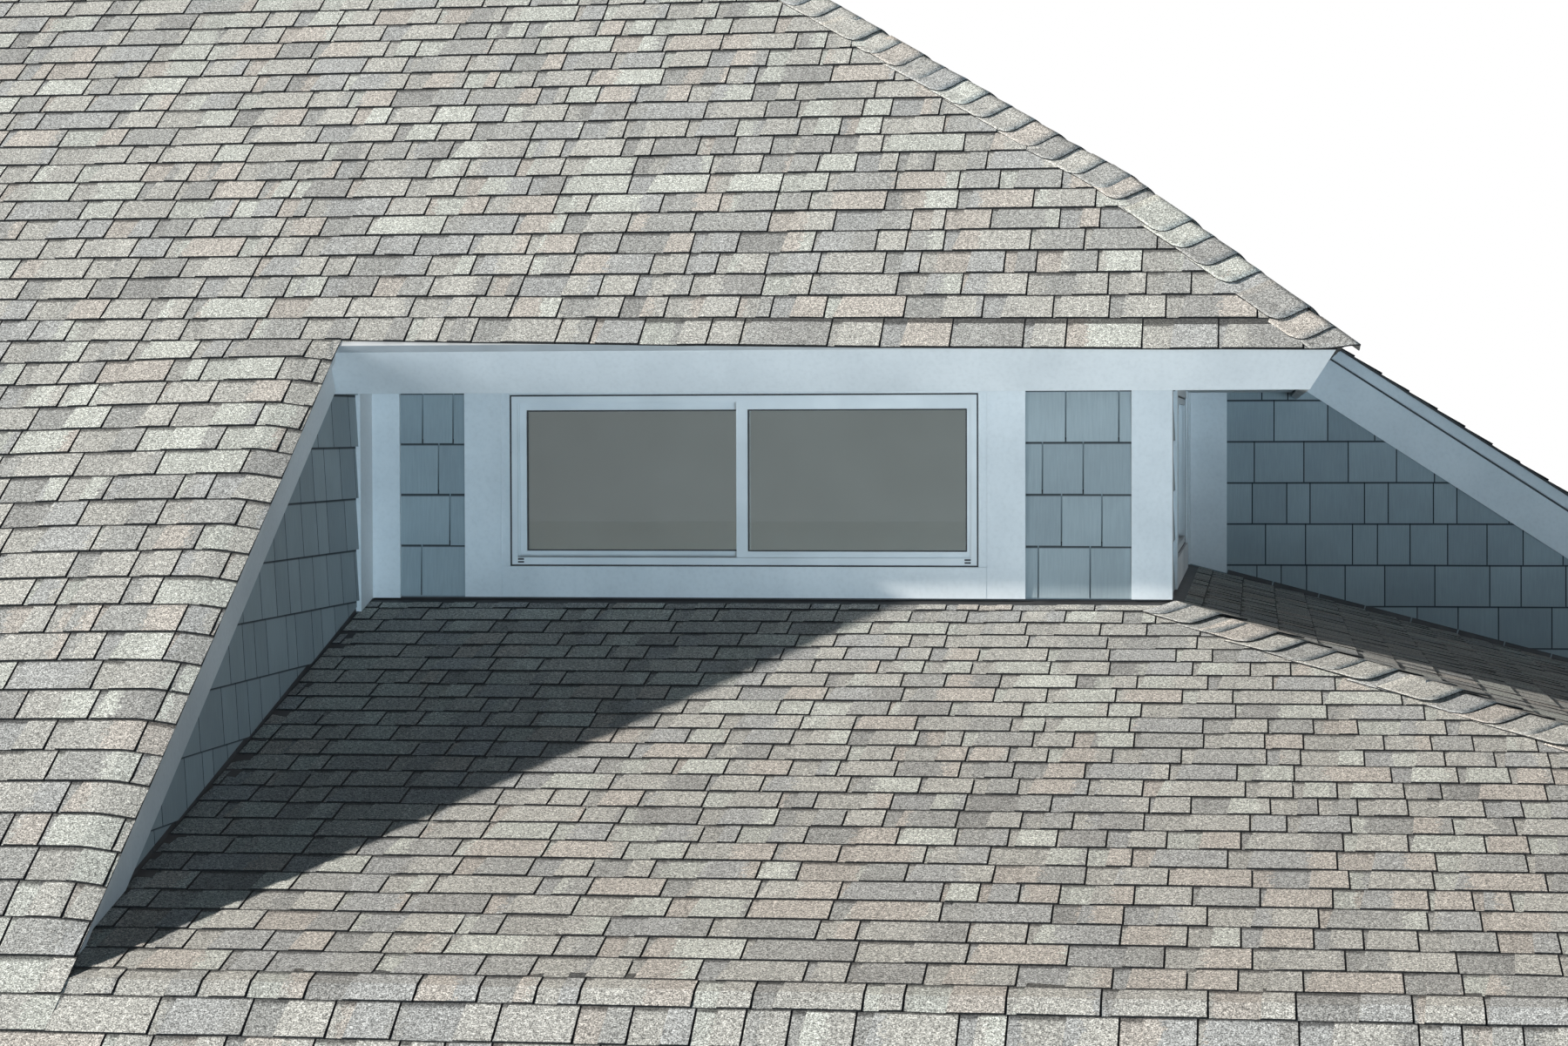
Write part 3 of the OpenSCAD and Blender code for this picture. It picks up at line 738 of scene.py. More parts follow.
# Roof shingles on each plane
ROOF_VALUES = {
    "Lap": 0.02,
    "Narrowest": 0.10,
    "Widest": 0.30,
    "Lower thickness": 0.0055,
    "Tab thickness": 0.0095,
    "Lower share": 0.62,
    "Tab slant": 0.10,
    "Joint": 0.0055,
    "Waver": 0.006,
    "Material": ROOF,
}
MAIN_VALUES = {**ROOF_VALUES, "Exposure": MAIN_EXPOSURE}
FOLDED_VALUES = {**MAIN_VALUES, "Lap": 0.045}
LOWER_VALUES = {
    **ROOF_VALUES,
    "Exposure": LOWER_EXPOSURE,
    "Lower thickness": 0.0035,
    "Tab thickness": 0.0065,
}
FRONT_COURSES = 22
SIDE_COURSES = 24
SIDE_UPPER_FOOT = 0.8
RAKE_RISE = 0.016
RAKE_RISE_RUN = 0.84
RAKE_FALL = 0.0155
RAKE_FALL_RUN = 0.12
RAKE_FADE = 0.25
# Lines up the slope along which the shingles can bend, measured in from the left cheek
RAKE_BEND_LINES = (0.9, 0.5, 0.25, 0.06, 0.03, 0.0, -0.03)
# Places and edges of the planes of the main roof
MAIN_PLACE = front_slope((0, -EAVE_OUT, EAVE_HEIGHT), MAIN_RISE)
SIDE_PLACE = side_slope((EAVE_OUT + SIDE_SHIFT, 0, EAVE_HEIGHT), MAIN_RISE)
ROOF_TOP = (BACK_END + EAVE_OUT) / MAIN_COS
ROOF_FOOT = (FRONT_END + EAVE_OUT) / MAIN_COS
LEFT = LEFT_END - LIP
BACK = BACK_END + LIP
HIP_END = (SIDE_SHIFT - BACK, BACK)
LEFT_RAKE = LEFT_CHEEK + RAKE_LIP
RIGHT_RAKE = RIGHT_CHEEK - RAKE_LIP


def main_start(lowest):
    """Where the first course at or below the given place along the slope begins."""
    return MAIN_FIRST + math.floor((lowest - MAIN_FIRST) / MAIN_EXPOSURE) * MAIN_EXPOSURE


def rake_bend(at):
    """The shingles rise gently toward the left rake and curve down over its edge."""
    inside = at.x - (LEFT_CHEEK + RAKE_LIP - RAKE_FALL_RUN - RAKE_RISE_RUN)
    if inside <= 0 or at.y > -EAVE_OUT:
        return 0.0
    fade = min(max((at.y - RAKE_FOOT) / RAKE_FADE, 0.0), 1.0)
    rise = RAKE_RISE * math.sin(math.pi / 2 * min(inside / RAKE_RISE_RUN, 1.0))
    fall = max(inside - RAKE_RISE_RUN, 0.0) / RAKE_FALL_RUN
    return fade * (rise - RAKE_FALL * fall**1.25)


def eave_droop(at):
    """How far the lowest course hangs out over the eave, more toward the right end."""
    along = at.x - LEFT_RAKE
    return 0.005 - 0.0445 * along + 0.0046 * along**2


def course_droop(at):
    """The courses near the eave run a little out of level, like the lowest one."""
    along = max(at.x - LEFT_CHEEK, 0.0)
    up = (at.y + EAVE_OUT) / MAIN_COS
    return -0.019 * along * max(0.0, 1.0 - up / 0.8)


def front_fold(at):
    return -(MAIN_RISE - LOWER_RISE) * max(at.y - FRONT_BREAK, 0.0)


def side_fold(at):
    return -(MAIN_RISE - LOWER_RISE) * max(SIDE_BREAK - at.x, 0.0)


def roof_field(name, place, x_range, y_range, plan, values, seed, **more):
    values = {**values, "Seed": seed}
    shingled(name, place, x_range, y_range, plan, "roof_shingles", values, **more)


def upper_shingles():
    """The upper roof, its hanging lowest courses, and the strips beside both cheeks."""
    turn_x, turn_y = HIP_TURN
    # A point well past the eave corner, on the line of the hip below its turn
    tip = (turn_x + 1.4 * (EAVE_OUT - turn_x), turn_y - 1.4 * (EAVE_OUT + turn_y))
    roof_field(
        "front_upper_shingles", MAIN_PLACE, (LEFT, EAVE_OUT), (MAIN_FIRST + MAIN_EXPOSURE, ROOF_TOP),
        [(LEFT, tip[1]), tip, HIP_TURN, HIP_END, (LEFT, BACK)],
        MAIN_VALUES, 3, slide=course_droop,
    )
    roof_field(
        "front_eave_shingles", MAIN_PLACE, (LEFT_RAKE, EAVE_OUT), (0.0, 0.0),
        [(LEFT_RAKE, tip[1]), tip, HIP_TURN, (LEFT_RAKE, turn_y)],
        {**FOLDED_VALUES, "Exposure": 0.16}, 7, slide=eave_droop,
    )
    bends = [((LEFT_CHEEK - inward, 0, 0), (1, 0, 0), False) for inward in RAKE_BEND_LINES]
    bends += [((0, RAKE_FOOT + up, 0), (0, 1, 0), False) for up in (0.0, RAKE_FADE)]
    roof_field(
        "left_strip_shingles", MAIN_PLACE, (LEFT, LEFT_RAKE), (main_start(ROOF_FOOT - LIP), MAIN_FIRST),
        [(LEFT, FRONT_END - LIP), (LEFT_RAKE, FRONT_END - LIP), (LEFT_RAKE, 0.0), (LEFT, 0.0)],
        MAIN_VALUES, 12, cuts=bends, bend=rake_bend,
    )
    roof_field(
        "side_upper_shingles", SIDE_PLACE, (0, RIGHT_CHEEK), (main_start(SIDE_UPPER_FOOT), ROOF_TOP),
        [HIP_TURN, (turn_x, RIGHT_CHEEK), (SIDE_SHIFT - RIGHT_CHEEK, RIGHT_CHEEK)],
        MAIN_VALUES, 21,
    )
    eave_x = EAVE_OUT + SIDE_EAVE_LIP
    roof_field(
        "side_eave_shingles", side_slope((EAVE_OUT, 0, EAVE_HEIGHT), EAVE_SLOPE),
        (-EAVE_OUT, RIGHT_CHEEK), (-EAVE_LIP, 1.0),
        [(eave_x, -eave_x), (eave_x, RIGHT_CHEEK), (turn_x, RIGHT_CHEEK), HIP_TURN],
        MAIN_VALUES, 27,
    )
    roof_field(
        "back_strip_shingles", SIDE_PLACE, (RIGHT_RAKE, BACK_END),
        (main_start(ROOF_FOOT - LIP), ROOF_TOP),
        [(RIGHT_END + LIP, RIGHT_RAKE), (RIGHT_END + LIP, BACK),
         HIP_END, (SIDE_SHIFT - RIGHT_RAKE, RIGHT_RAKE)],
        MAIN_VALUES, 34,
    )


def lower_shingles():
    """The shallow roof below both windows."""
    left, right = LEFT_CHEEK + CHEEK_GAP, RIGHT_CHEEK - CHEEK_GAP
    foot = -LOWER_FIRST - FRONT_COURSES * LOWER_EXPOSURE
    roof_field(
        "front_lower_shingles", front_slope((0, 0, 0), LOWER_RISE), (LEFT_CHEEK, -FRONT_BREAK),
        (foot, 0.0), [(left, -APRON), (APRON, -APRON), BREAK_NEAR, (left, FRONT_BREAK)],
        LOWER_VALUES, 41,
    )
    foot = -LOWER_FIRST - SIDE_COURSES * LOWER_EXPOSURE
    roof_field(
        "side_lower_shingles", side_slope((0, 0, 0), LOWER_RISE), (FRONT_BREAK - 0.2, RIGHT_CHEEK),
        (foot, 0.0), [(APRON, -APRON), BREAK_NEAR, BREAK_FAR, (SIDE_BREAK, right), (APRON, right)],
        LOWER_VALUES, 48,
    )


def foot_shingles():
    """The main roof below the break. Its highest course folds over and runs in under the lower roof."""
    start = main_start(ROOF_FOOT - LIP)
    near_x, near_y = BREAK_NEAR
    far_x, far_y = BREAK_FAR
    reach = BREAK_REACH / (near_y - far_y)
    above = (near_x + (near_x - far_x) * reach, near_y + BREAK_REACH)
    roof_field(
        "front_bottom_shingles", MAIN_PLACE, (LEFT_RAKE, RIGHT_END),
        (start, main_start((FRONT_BREAK + EAVE_OUT) / MAIN_COS)),
        [(LEFT_RAKE, above[1]), (LEFT_RAKE, FRONT_END - LIP), (RIGHT_END, FRONT_END - LIP),
         (RIGHT_END, FRONT_END), BREAK_FAR, above],
        FOLDED_VALUES, 55, cuts=[((0, FRONT_BREAK, 0), (0, 1, 0), False)], bend=front_fold,
    )
    inner_x = SIDE_BREAK - BREAK_REACH
    roof_field(
        "side_bottom_shingles", SIDE_PLACE, (FRONT_END, RIGHT_RAKE),
        (start, main_start((EAVE_OUT + SIDE_SHIFT - SIDE_BREAK) / MAIN_COS)),
        [BREAK_FAR, (RIGHT_END, FRONT_END), (RIGHT_END + LIP, FRONT_END),
         (RIGHT_END + LIP, RIGHT_RAKE), (inner_x, RIGHT_RAKE), (inner_x, far_y + BREAK_REACH)],
        FOLDED_VALUES, 62, cuts=[((SIDE_BREAK, 0, 0), (1, 0, 0), False)], bend=side_fold,
    )


# Siding shingles on each wall
SIDING_VALUES = {
    "Exposure": SIDING_EXPOSURE,
    "Lap": 0.015,
    "Narrowest": 0.10,
    "Widest": 0.235,
    "Lower thickness": 0.006,
    "Tab thickness": 0.013,
    "Lower share": 0.0,
    "Tab slant": 0.0,
    "Joint": 0.005,
    "Waver": 0.0015,
    "Material": SIDING,
}


# Joints of the boards beside the front window, as shares of each panel, from the foot up
LEFT_JOINTS = ((0.32,), (0.76,), (0.59,), (0.35, 0.82))
RIGHT_JOINTS = ((0.12, 0.61), (0.34, 0.72), (0.16, 0.545), (0.38, 0.88))
BOARD_GAP = 0.005
BOARD_LAP = 0.015
BOARD_PLAY = 0.0015
BOARD_BUTT = 0.013
BOARD_HEAD = 0.003
BOARD_BACK = 0.0005
WALL_FOOT = 0.012
INNER_BOARD = 0.12
CHEEK_COURSES_BELOW = 12
RAFTER_GAP = 0.03
SOFFIT_CUT = ((0, 0, SOFFIT_FOOT), (0, 0, 1), True)


def wall_boards(name, x0, x1, joints, seed):
    """Courses of sawn shingles on the front wall, between two upright boards."""
    drawn = random.Random(seed)
    bm = bmesh.new()
    tone = bm.faces.layers.float.new("tone")
    edge = bm.faces.layers.float.new("edge")
    upward = bm.verts.layers.float.new("upward")
    for k, shares in enumerate(joints):
        start = FRONT_SIDING_FIRST + k * SIDING_EXPOSURE
        foot = max(start, WALL_FOOT)
        head = min(FRONT_SIDING_FIRST + (k + 1) * SIDING_EXPOSURE + BOARD_LAP, SOFFIT_FOOT)
        stops = [x0] + [x0 + share * (x1 - x0) for share in shares] + [x1]
        for a, b in zip(stops, stops[1:]):
            left = a + (BOARD_GAP / 2 if a != x0 else 0.0)
            right = b - (BOARD_GAP / 2 if b != x1 else 0.0)
            drop = drawn.uniform(-BOARD_PLAY, BOARD_PLAY)
            made = bmesh.ops.create_cube(bm)["verts"]
            for v in made:
                up = v.co.y > 0
                face_out = BOARD_HEAD if up else BOARD_BUTT
                # How far up the course each point lies, which places the painted shadow under the butt
                # above
                v[upward] = (head - start) / SIDING_EXPOSURE if up else 0.0
                v.co = Vector(
                    (
                        right if v.co.x > 0 else left,
                        head if up else foot + drop,
                        face_out if v.co.z > 0 else BOARD_BACK,
                    )
                )
            shade = drawn.random()
            for face in {f for v in made for f in v.link_faces}:
                face[tone] = shade
    bm.normal_update()
    # Sides, butts and heads count as edges, which the siding paints dark as shade
    for face in bm.faces:
        face[edge] = 0.0 if abs(face.normal.z) > 0.5 else 1.0
    mesh = mesh_from(name, bm, SIDING)
    mesh.transform(axes((0, 0, 0), (1, 0, 0), (0, 0, 1)))
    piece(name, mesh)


def side_panel(name, y0, y1, seed):
    """Siding on the side window wall between two upright boards."""
    shingled(
        name, axes((0, 0, 0), (0, 1, 0), (0, 0, 1)), (y0, y1),
        (FRONT_SIDING_FIRST - SIDING_EXPOSURE, SOFFIT_FOOT), None, "siding_shingles",
        {**SIDING_VALUES, "Seed": seed},
        cuts=(
            ((0, y0, 0), (0, -1, 0), True),
            ((0, y1, 0), (0, 1, 0), True),
            SOFFIT_CUT,
            ((0, 0, WALL_FOOT), (0, 0, -1), True),
        ),
    )


def cheek_panel(name, place, x_range, seed, cuts):
    """Siding on a cheek, cut along the lower roof and the rake."""
    start = CHEEK_SIDING_FIRST - CHEEK_COURSES_BELOW * SIDING_EXPOSURE
    shingled(
        name, place, x_range, (start, SOFFIT_FOOT + 0.2), None, "siding_shingles",
        {**SIDING_VALUES, "Seed": seed}, cuts=(*cuts, SOFFIT_CUT),
    )


def siding():
    wall_boards("front_siding_left", INNER_EDGE, CASING_LEFT, LEFT_JOINTS, 5)
    wall_boards("front_siding_right", CASING_RIGHT, POST_EDGE, RIGHT_JOINTS, 9)
    side_panel("side_siding_near", -POST_EDGE, SIDE_CASING_NEAR, 15)
    side_panel("side_siding_far", SIDE_CASING_FAR, RIGHT_CHEEK - INNER_BOARD, 19)
    under = EAVE_HEIGHT + MAIN_RISE * EAVE_OUT - RAFTER_GAP
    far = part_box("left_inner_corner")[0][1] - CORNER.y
    cheek_panel(
        "left_cheek_siding", axes((LEFT_CHEEK, 0, 0), (0, 1, 0), (0, 0, 1)), (FRONT_BREAK, 0.0), 25,
        (
            ((0, far, 0), (0, 1, 0), True),
            ((0, 0, SIDING_FOOT), (0, LOWER_RISE, -1), True),
            ((0, 0, under), (0, -MAIN_RISE, 1), True),
        ),
    )
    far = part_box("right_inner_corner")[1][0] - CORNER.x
    cheek_panel(
        "right_cheek_siding", axes((0, RIGHT_CHEEK, 0), (1, 0, 0), (0, 0, 1)), (0.0, SIDE_BREAK), 33,
        (
            ((far, 0, 0), (-1, 0, 0), True),
            ((0, 0, SIDING_FOOT), (-LOWER_RISE, 0, -1), True),
            ((0, 0, under + MAIN_RISE * SIDE_SHIFT), (MAIN_RISE, 0, 1), True),
        ),
    )


# Folded hip caps
UPPER_CAP = {"half": 0.132, "exposure": 0.1411, "crown": 0.010}
LOWER_CAP = {"half": 0.155, "exposure": 0.1365, "crown": 0.003}
CAP_LAP = 0.085
CAP_CORNER = 0.045
CAP_SHEET = 0.004
CAP_BED = 0.010
CAP_BUTT_RISE = 0.005
CAP_CREST = 0.05
CAP_STEPS_ACROSS = 20
CAP_STEPS_ALONG = 5
CAP_PLAY = 0.02
CAP_TIP = 0.12
CAP_EAVE_LIP = 0.075
CAP_RAKE_LIP = 0.085
RIM_AREA = 0.0006
RIM_SLANT = 0.6
WALL_START = 0.09
CAP_INPUTS = {
    "Int": ("Count", "Seed"),
    "Vector": ("Step",),
    "Object": ("Cap",),
    "Material": ("Material",),
}


def cap_faces(bm, top, low):
    """Closes a bent sheet between its upper and its under points, in rows along the hip."""
    upper = [bm.verts.new(p) for p in top]
    under = [bm.verts.new(p) for p in low]
    row = CAP_STEPS_ALONG + 1
    for i in range(CAP_STEPS_ACROSS):
        for j in range(CAP_STEPS_ALONG):
            a, b = i * row + j, (i + 1) * row + j
            bm.faces.new((upper[a], upper[b], upper[b + 1], upper[a + 1]))
            bm.faces.new((under[a + 1], under[b + 1], under[b], under[a]))
        a, b = i * row, (i + 1) * row
        bm.faces.new((under[a], under[b], upper[b], upper[a]))
        a, b = a + CAP_STEPS_ALONG, b + CAP_STEPS_ALONG
        bm.faces.new((upper[a], upper[b], under[b], under[a]))
    last = CAP_STEPS_ACROSS * row
    for j in range(CAP_STEPS_ALONG):
        bm.faces.new((upper[j], upper[j + 1], under[j + 1], under[j]))
        a = last + j
        bm.faces.new((under[a], under[a + 1], upper[a + 1], upper[a]))
    bmesh.ops.recalc_face_normals(bm, faces=bm.faces[:])


def cap_mesh(name, hip, wings, normals, half, exposure, crown):
    """One cap, folded over a hip that runs up along the given direction."""
    front_wing, side_wing = wings
    front_normal, side_normal = normals
    crest_normal = (front_normal + side_normal).normalized()
    length = exposure + CAP_LAP
    top, low = [], []
    for i in range(CAP_STEPS_ACROSS + 1):
        u = (2 * i / CAP_STEPS_ACROSS - 1) * half
        wing = side_wing if u > 0 else front_wing
        blend = min(abs(u) / CAP_CREST, 1.0)
        normal = (side_normal if u > 0 else front_normal) * blend + crest_normal * (1 - blend)
        normal.normalize()
        bulge = crown * math.exp(-((u / CAP_CREST) ** 2))
        reach = max(abs(u) - (half - CAP_CORNER), 0.0)
        round_off = CAP_CORNER - math.sqrt(CAP_CORNER**2 - reach**2)
        for j in range(CAP_STEPS_ALONG + 1):
            v = round_off + j / CAP_STEPS_ALONG * (length - round_off)
            lift = CAP_BED + bulge + CAP_BUTT_RISE * (1 - v / exposure)
            at = hip * v + wing * abs(u)
            top.append(at + normal * lift)
            low.append(at + normal * (lift - CAP_SHEET))
    bm = bmesh.new()
    cap_faces(bm, top, low)
    mesh = mesh_from(name, bm)
    edge = mesh.attributes.new("edge", "FLOAT", "FACE")
    # Rim faces count as edges, which the roof paints near black: the asphalt's own edge, darkened
    # further as painted shade
    for face in mesh.polygons:
        rim = abs(face.normal.dot(crest_normal)) < RIM_SLANT and face.area < RIM_AREA
        edge.data[face.index].value = 1.0 if rim else 0.0
    return mesh


def build_cap_tree():
    """Caps set one over another along a line, each a little out of true."""
    tree, given, result = new_tree("hip caps", CAP_INPUTS)
    line = node(tree, "GeometryNodeMeshLine", {"Count": given["Count"], "Offset": given["Step"]})
    cap = node(tree, "GeometryNodeObjectInfo", {"Object": given["Cap"]})
    index = out(node(tree, "GeometryNodeInputIndex"))
    seed = given["Seed"]
    turn = chance(tree, (-CAP_PLAY,) * 3, (CAP_PLAY,) * 3, index, seed, "FLOAT_VECTOR")
    shift = node(tree, "ShaderNodeVectorMath", {0: turn, "Scale": 0.2}, operation="SCALE")
    loose = node(tree, "GeometryNodeSetPosition", {"Geometry": out(line), "Offset": out(shift)})
    copies = {"Points": out(loose), "Instance": out(cap, "Geometry"), "Rotation": turn}
    made = out(node(tree, "GeometryNodeInstanceOnPoints", copies))
    tone = chance(tree, 0.0, 0.75, index, seed)
    made = stored(tree, made, "tone", tone, "INSTANCE")
    made = stored(tree, made, "along", maths(tree, "MULTIPLY", tone, 90.0), "INSTANCE")
    real = node(tree, "GeometryNodeRealizeInstances", {0: made})
    done = {"Geometry": out(real), "Material": given["Material"]}
    tree.links.new(out(node(tree, "GeometryNodeSetMaterial", done)), result)
    return tree


def point_on_front(x, y):
    return Vector((x, y, EAVE_HEIGHT + MAIN_RISE * (EAVE_OUT + y)))


def capped(name, tree, start, end, normals, seed, kind):
    """Hip caps from one point of a hip up to another, given round the corner of the walls."""
    hip = (end - start).normalized()
    front_normal, side_normal = (Vector(n).normalized() for n in normals)
    front_wing = hip.cross(front_normal)
    side_wing = side_normal.cross(hip)
    if front_wing.x > 0:
        front_wing.negate()
    if side_wing.y < 0:
        side_wing.negate()
    wings = (front_wing, side_wing)
    cap = in_scene(name + "_cap", cap_mesh(name, hip, wings, (front_normal, side_normal), **kind))
    values = {
        "Count": int(math.ceil((end - start).length / kind["exposure"])),
        "Step": hip * kind["exposure"],
        "Cap": cap,
        "Seed": seed,
        "Material": ROOF,
    }
    mesh = baked(name, tree, values)
    mesh.transform(Matrix.Translation(CORNER + start))
    bpy.data.objects.remove(cap)
    return mesh


def joined(name, meshes, cuts):
    """One mesh from several, cut at planes given round the corner of the walls."""
    bm = bmesh.new()
    for mesh in meshes:
        bm.from_mesh(mesh)
    for point, normal in cuts:
        cut_by(bm, CORNER + Vector(point), Vector(normal).normalized())
    return mesh_from(name, bm, ROOF)


def hip_caps():
    tree = build_cap_tree()
    front, side, eave = (0, -MAIN_RISE, 1), (MAIN_RISE, 0, 1), (EAVE_SLOPE, 0, 1)
    front_lower, side_lower = (0, -LOWER_RISE, 1), (LOWER_RISE, 0, 1)
    turn = point_on_front(*HIP_TURN)
    tip = point_on_front(EAVE_OUT, -EAVE_OUT)
    tip = tip + (tip - turn).normalized() * CAP_TIP
    top = point_on_front(SIDE_SHIFT - BACK_END, BACK_END)
    upper = [
        capped("eave_caps", tree, tip, turn, (front, eave), 4, UPPER_CAP),
        capped("ridge_caps", tree, turn, top, (front, side), 6, UPPER_CAP),
    ]
    ends = (
        ((LEFT, 0, 0), (-1, 0, 0)),
        ((0, BACK, 0), (0, 1, 0)),
        ((EAVE_OUT + CAP_EAVE_LIP, 0, 0), (1, 0, 0)),
        ((0, -EAVE_OUT - CAP_RAKE_LIP, 0), (0, -1, 0)),
    )
    mesh = joined("upper_caps", upper, ends)
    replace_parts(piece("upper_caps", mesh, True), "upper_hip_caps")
    near = Vector((*BREAK_NEAR, LOWER_RISE * FRONT_BREAK))
    far = Vector((*BREAK_FAR, -LOWER_RISE * SIDE_BREAK))
    foot = point_on_front(RIGHT_END, FRONT_END)
    wall = Vector((WALL_START, -WALL_START, -WALL_START * LOWER_RISE))
    lower = [
        capped("foot_caps", tree, foot, far, (front, side), 8, LOWER_CAP),
        capped("break_caps", tree, far, near, (front, side_lower), 10, LOWER_CAP),
        capped("shallow_caps", tree, near, wall, (front_lower, side_lower), 14, LOWER_CAP),
    ]
    mesh = joined("lower_caps", lower, (((LIP, -LIP, 0), (-1, 1, 0)),))
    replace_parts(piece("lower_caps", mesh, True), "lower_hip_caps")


# Thin strips, seals, and painted shade in gaps and drain slots
STRIP_IN = 0.040
STRIP_WIDTH = 0.013
STRIP_DEEP = 0.010
DARK_RING_WIDTH = 0.005
DARK_BOX_THICKNESS = 0.003
SEAL_OUT = 0.007
GLASS_GROOVE = 0.007
MEETING_STILE = 0.040
JAMB_WIDTH = 0.026
SLOT_LENGTH = 0.022
SLOT_HEIGHT = 0.006
SLOT_PLACES = (0.021, 0.011)


def edge_strip(name, low, high, axis, start, rise):
    """A box between two points given over the eave, tilted along an axis with the roof."""
    bm = bmesh.new()
    for v in bmesh.ops.create_cube(bm, size=1.0)["verts"]:
        at = Vector([high[i] if v.co[i] > 0 else low[i] for i in range(3)])
        at.z += EAVE_HEIGHT + rise * (at[axis] - start)
        v.co = CORNER + at
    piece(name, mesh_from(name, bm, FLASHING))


def edge_strips():
    """The dark metal edges under the shingles of both rakes."""
    x = LEFT_CHEEK + STRIP_IN
    low, high = (x, RAKE_FOOT, -0.014), (x + STRIP_WIDTH, -EAVE_OUT, 0.001)
    edge_strip("left_rake_edge", low, high, 1, -EAVE_OUT, MAIN_RISE)
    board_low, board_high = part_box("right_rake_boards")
    y = board_low[1] - CORNER.y
    low, high = (EAVE_OUT, y - STRIP_DEEP, -0.010), (board_high[0] - CORNER.x, y, 0.003)
    edge_strip("right_rake_edge", low, high, 0, EAVE_OUT + SIDE_SHIFT, -MAIN_RISE)


def flat_box(bm, turned, a, b, low, high, depth):
    """A thin box in front of the front window, or of the side window where turned."""
    for v in bmesh.ops.create_cube(bm, size=1.0)["verts"]:
        along = b if v.co.x > 0 else a
        out_at = depth + (DARK_BOX_THICKNESS if v.co.y > 0 else 0.0)
        up = high if v.co.z > 0 else low
        v.co = CORNER + (Vector((-out_at, along, up)) if turned else Vector((along, out_at, up)))


def dark_ring(bm, turned, x0, x1, z0, z1, depth):
    """A thin dark ring: a seal round a pane, painted shade round a frame."""
    flat_box(bm, turned, x0, x0 + DARK_RING_WIDTH, z0, z1, depth)
    flat_box(bm, turned, x1 - DARK_RING_WIDTH, x1, z0, z1, depth)
    flat_box(bm, turned, x0 + DARK_RING_WIDTH, x1 - DARK_RING_WIDTH, z0, z0 + DARK_RING_WIDTH, depth)
    flat_box(bm, turned, x0 + DARK_RING_WIDTH, x1 - DARK_RING_WIDTH, z1 - DARK_RING_WIDTH, z1, depth)


def dark_window_lines():
    """Dark seals round the panes, also painting the shade in their grooves; a dark ring painted as the
    shade round each frame; dark patches painted as the shade in the drain slots.
    """
    for side, turned in (("front", False), ("side", True)):
        bm = bmesh.new()
        axis = 1 if turned else 0
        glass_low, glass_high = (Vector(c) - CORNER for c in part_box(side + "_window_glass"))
        pane_low = glass_low[axis] + GLASS_GROOVE
        pane_high = glass_high[axis] - GLASS_GROOVE
        z0, z1 = glass_low.z + GLASS_GROOVE, glass_high.z - GLASS_GROOVE
        for sash in ("sliding_sash", "fixed_sash"):
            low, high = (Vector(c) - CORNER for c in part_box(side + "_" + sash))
            x0 = pane_low if low[axis] < pane_low else low[axis] + MEETING_STILE
            x1 = pane_high if high[axis] > pane_high else high[axis] - MEETING_STILE
            middle = (low + high) / 2
            depth = (-middle.x if turned else middle.y) - SEAL_OUT
            # Dark seal round each pane, which also paints the shade in the glazing groove
            dark_ring(bm, turned, x0, x1, z0, z1, depth)
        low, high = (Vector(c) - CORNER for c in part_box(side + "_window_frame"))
        proud = -high.x if turned else low.y
        # Painted shade: a dark ring in the gap round the frame
        dark_ring(bm, turned, low[axis], high[axis], low.z, high.z, proud - 0.001)
        # Painted shade: dark patches in the drain slots
        for start in (low[axis] + JAMB_WIDTH, high[axis] - JAMB_WIDTH - SLOT_LENGTH):
            for up in SLOT_PLACES:
                foot = low.z + up
                flat_box(
                    bm, turned, start, start + SLOT_LENGTH, foot, foot + SLOT_HEIGHT, proud - 0.0005
                )
        if turned:
            bmesh.ops.recalc_face_normals(bm, faces=bm.faces[:])
        name = side + "_pane_seals"
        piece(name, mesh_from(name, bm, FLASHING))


# Camera, light and floor
CAMERA_PLACE = Vector((0.3055, -11.5267, 0.5963))
CAMERA_TURN_LEFT = 0.1412
CAMERA_TILT_DOWN = 0.0280
CAMERA_ROLL = -0.0030
CAMERA_LENS = 76.285
SKY = {"Color": (0.42, 0.72, 1.0, 1), "Strength": 0.035}
WHITE = {"Color": (1, 1, 1, 1), "Strength": 1.0}
FLOOR_HALF = 60.0
FLOOR_PALE = (0.82, 0.82, 0.81, 1)
# Name, direction of the light, strength, spread in degrees and colour of each distant lamp.
# The fills come in low, along the shallow roof, so that its shade stays deep.
LAMPS = (
    ("key", (0.871, 0.275, -0.408), 6.6, 1.5, (1.0, 0.965, 0.90)),
    ("left_fill", (0.74, 0.66, 0.09), 1.35, 30.0, (0.82, 0.93, 1.0)),
    ("right_fill", (-0.30, 0.93, 0.13), 1.3, 20.0, (0.54, 0.80, 1.0)),
    ("back_fill", (0.06, -0.99, -0.08), 1.2, 20.0, (0.95, 0.97, 1.0)),
)
ROOM_LAMP_PLACE = Vector((-1.1, 1.5, 0.6))
ROOM_LAMP_POWER = 25.0


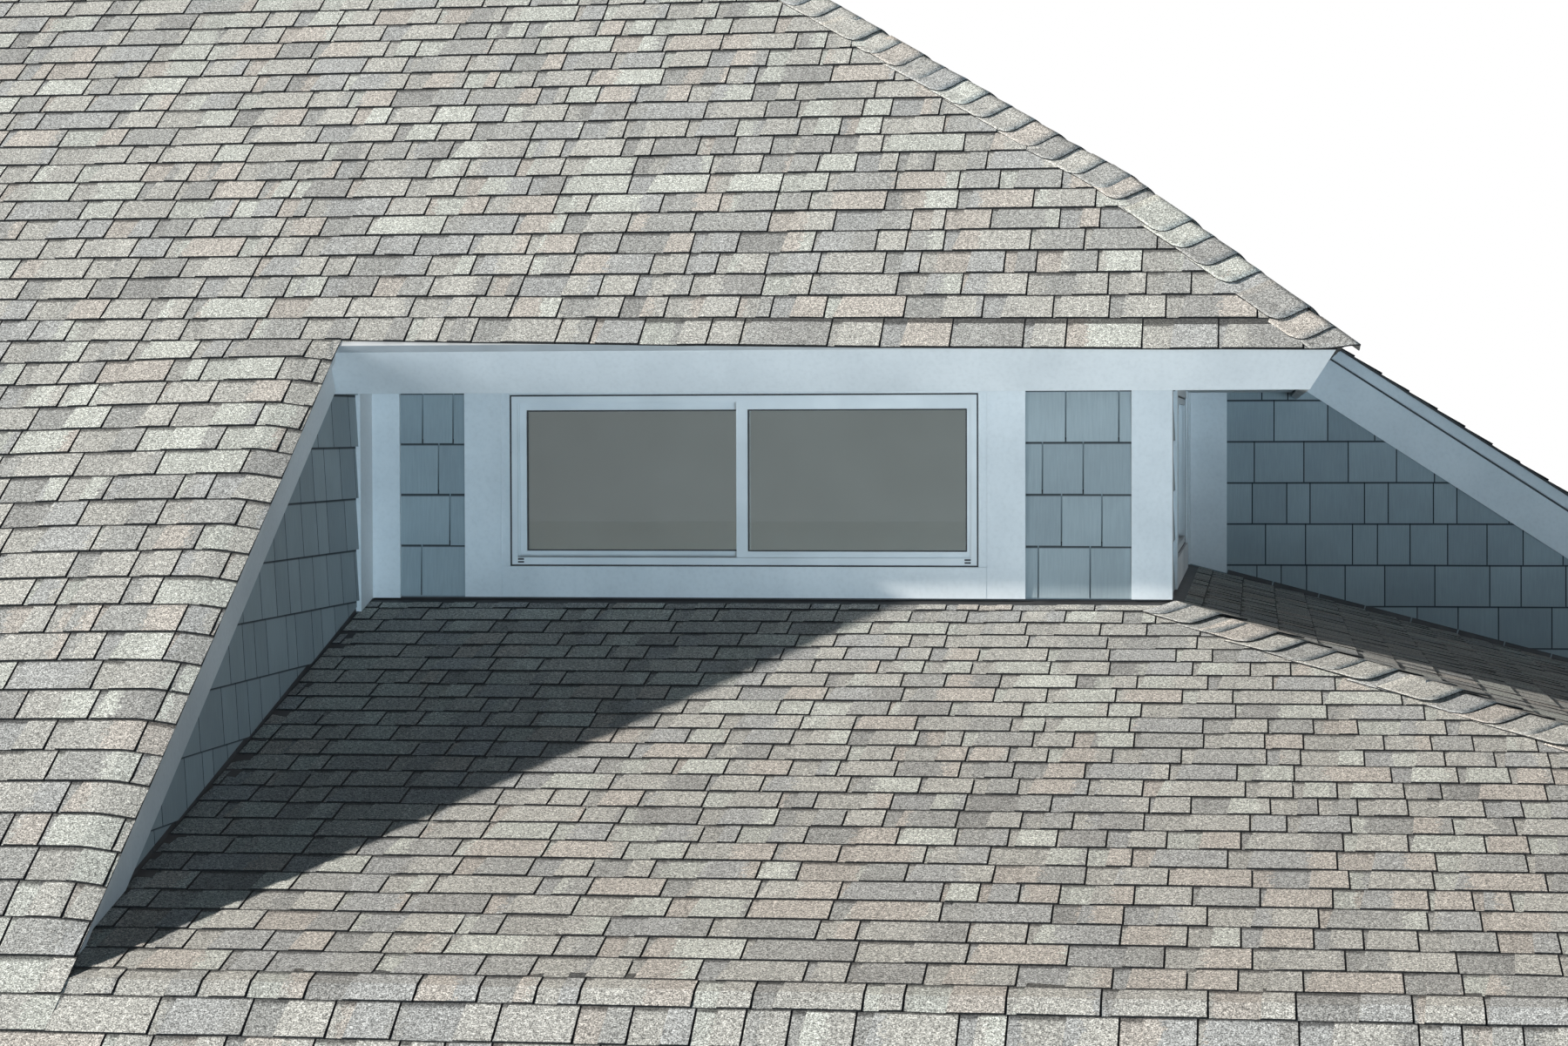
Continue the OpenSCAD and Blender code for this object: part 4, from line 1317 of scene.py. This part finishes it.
def camera():
    data = bpy.data.cameras.new("camera")
    data.lens = CAMERA_LENS
    data.sensor_width = 36.0
    data.sensor_fit = "HORIZONTAL"
    data.clip_end = 200.0
    made = in_scene("camera", data)
    turn, tilt, roll = CAMERA_TURN_LEFT, CAMERA_TILT_DOWN, CAMERA_ROLL
    forward = Vector(
        (-math.sin(turn) * math.cos(tilt), math.cos(turn) * math.cos(tilt), -math.sin(tilt))
    )
    right = Vector((math.cos(turn), math.sin(turn), 0))
    up = right.cross(forward)
    across = right * math.cos(roll) + up * math.sin(roll)
    over = up * math.cos(roll) - right * math.sin(roll)
    matrix = Matrix((across, over, -forward)).transposed().to_4x4()
    matrix.translation = CORNER + CAMERA_PLACE
    made.matrix_world = matrix
    bpy.context.scene.camera = made


def sky():
    """A weak sky, which the camera, reflections and the panes see as plain white."""
    world = bpy.data.worlds.new("surroundings")
    bpy.context.scene.world = world
    world.use_nodes = True
    tree = world.node_tree
    tree.nodes.clear()
    seen = tree.nodes.new("ShaderNodeLightPath").outputs
    direct = maths(tree, "MAXIMUM", seen["Is Camera Ray"], seen["Is Glossy Ray"])
    direct = maths(tree, "MAXIMUM", direct, seen["Is Transmission Ray"])
    weak = node(tree, "ShaderNodeBackground", SKY)
    white = node(tree, "ShaderNodeBackground", WHITE)
    both = node(tree, "ShaderNodeMixShader", {0: direct, 1: out(weak), 2: out(white)})
    end = tree.nodes.new("ShaderNodeOutputWorld")
    tree.links.new(out(both), end.inputs[0])


def pale_floor():
    pale, tree, shader = material("pale_floor")
    shader.inputs["Base Color"].default_value = FLOOR_PALE
    shader.inputs["Roughness"].default_value = 0.9
    bm = bmesh.new()
    bmesh.ops.create_grid(bm, x_segments=1, y_segments=1, size=FLOOR_HALF)
    floor = in_scene("floor", mesh_from("floor", bm, pale))
    floor.visible_shadow = False


def lamps():
    for name, toward, strength, spread, colour in LAMPS:
        data = bpy.data.lights.new(name, "SUN")
        data.energy = strength
        data.angle = math.radians(spread)
        data.color = colour
        in_scene(name, data).rotation_euler = Vector(toward).to_track_quat("-Z", "Y").to_euler()
    data = bpy.data.lights.new("room", "POINT")
    data.energy = ROOM_LAMP_POWER
    data.shadow_soft_size = 0.4
    data.color = (0.92, 1.0, 0.98)
    room = in_scene("room", data)
    room.location = CORNER + ROOM_LAMP_PLACE
    room.visible_camera = False
    room.visible_glossy = False
    room.visible_transmission = False


camera()
dress_nodes()
upper_shingles()
lower_shingles()
foot_shingles()
siding()
hip_caps()
edge_strips()
dark_window_lines()
sky()
pale_floor()
lamps()
bpy.context.scene.view_settings.view_transform = "Standard"
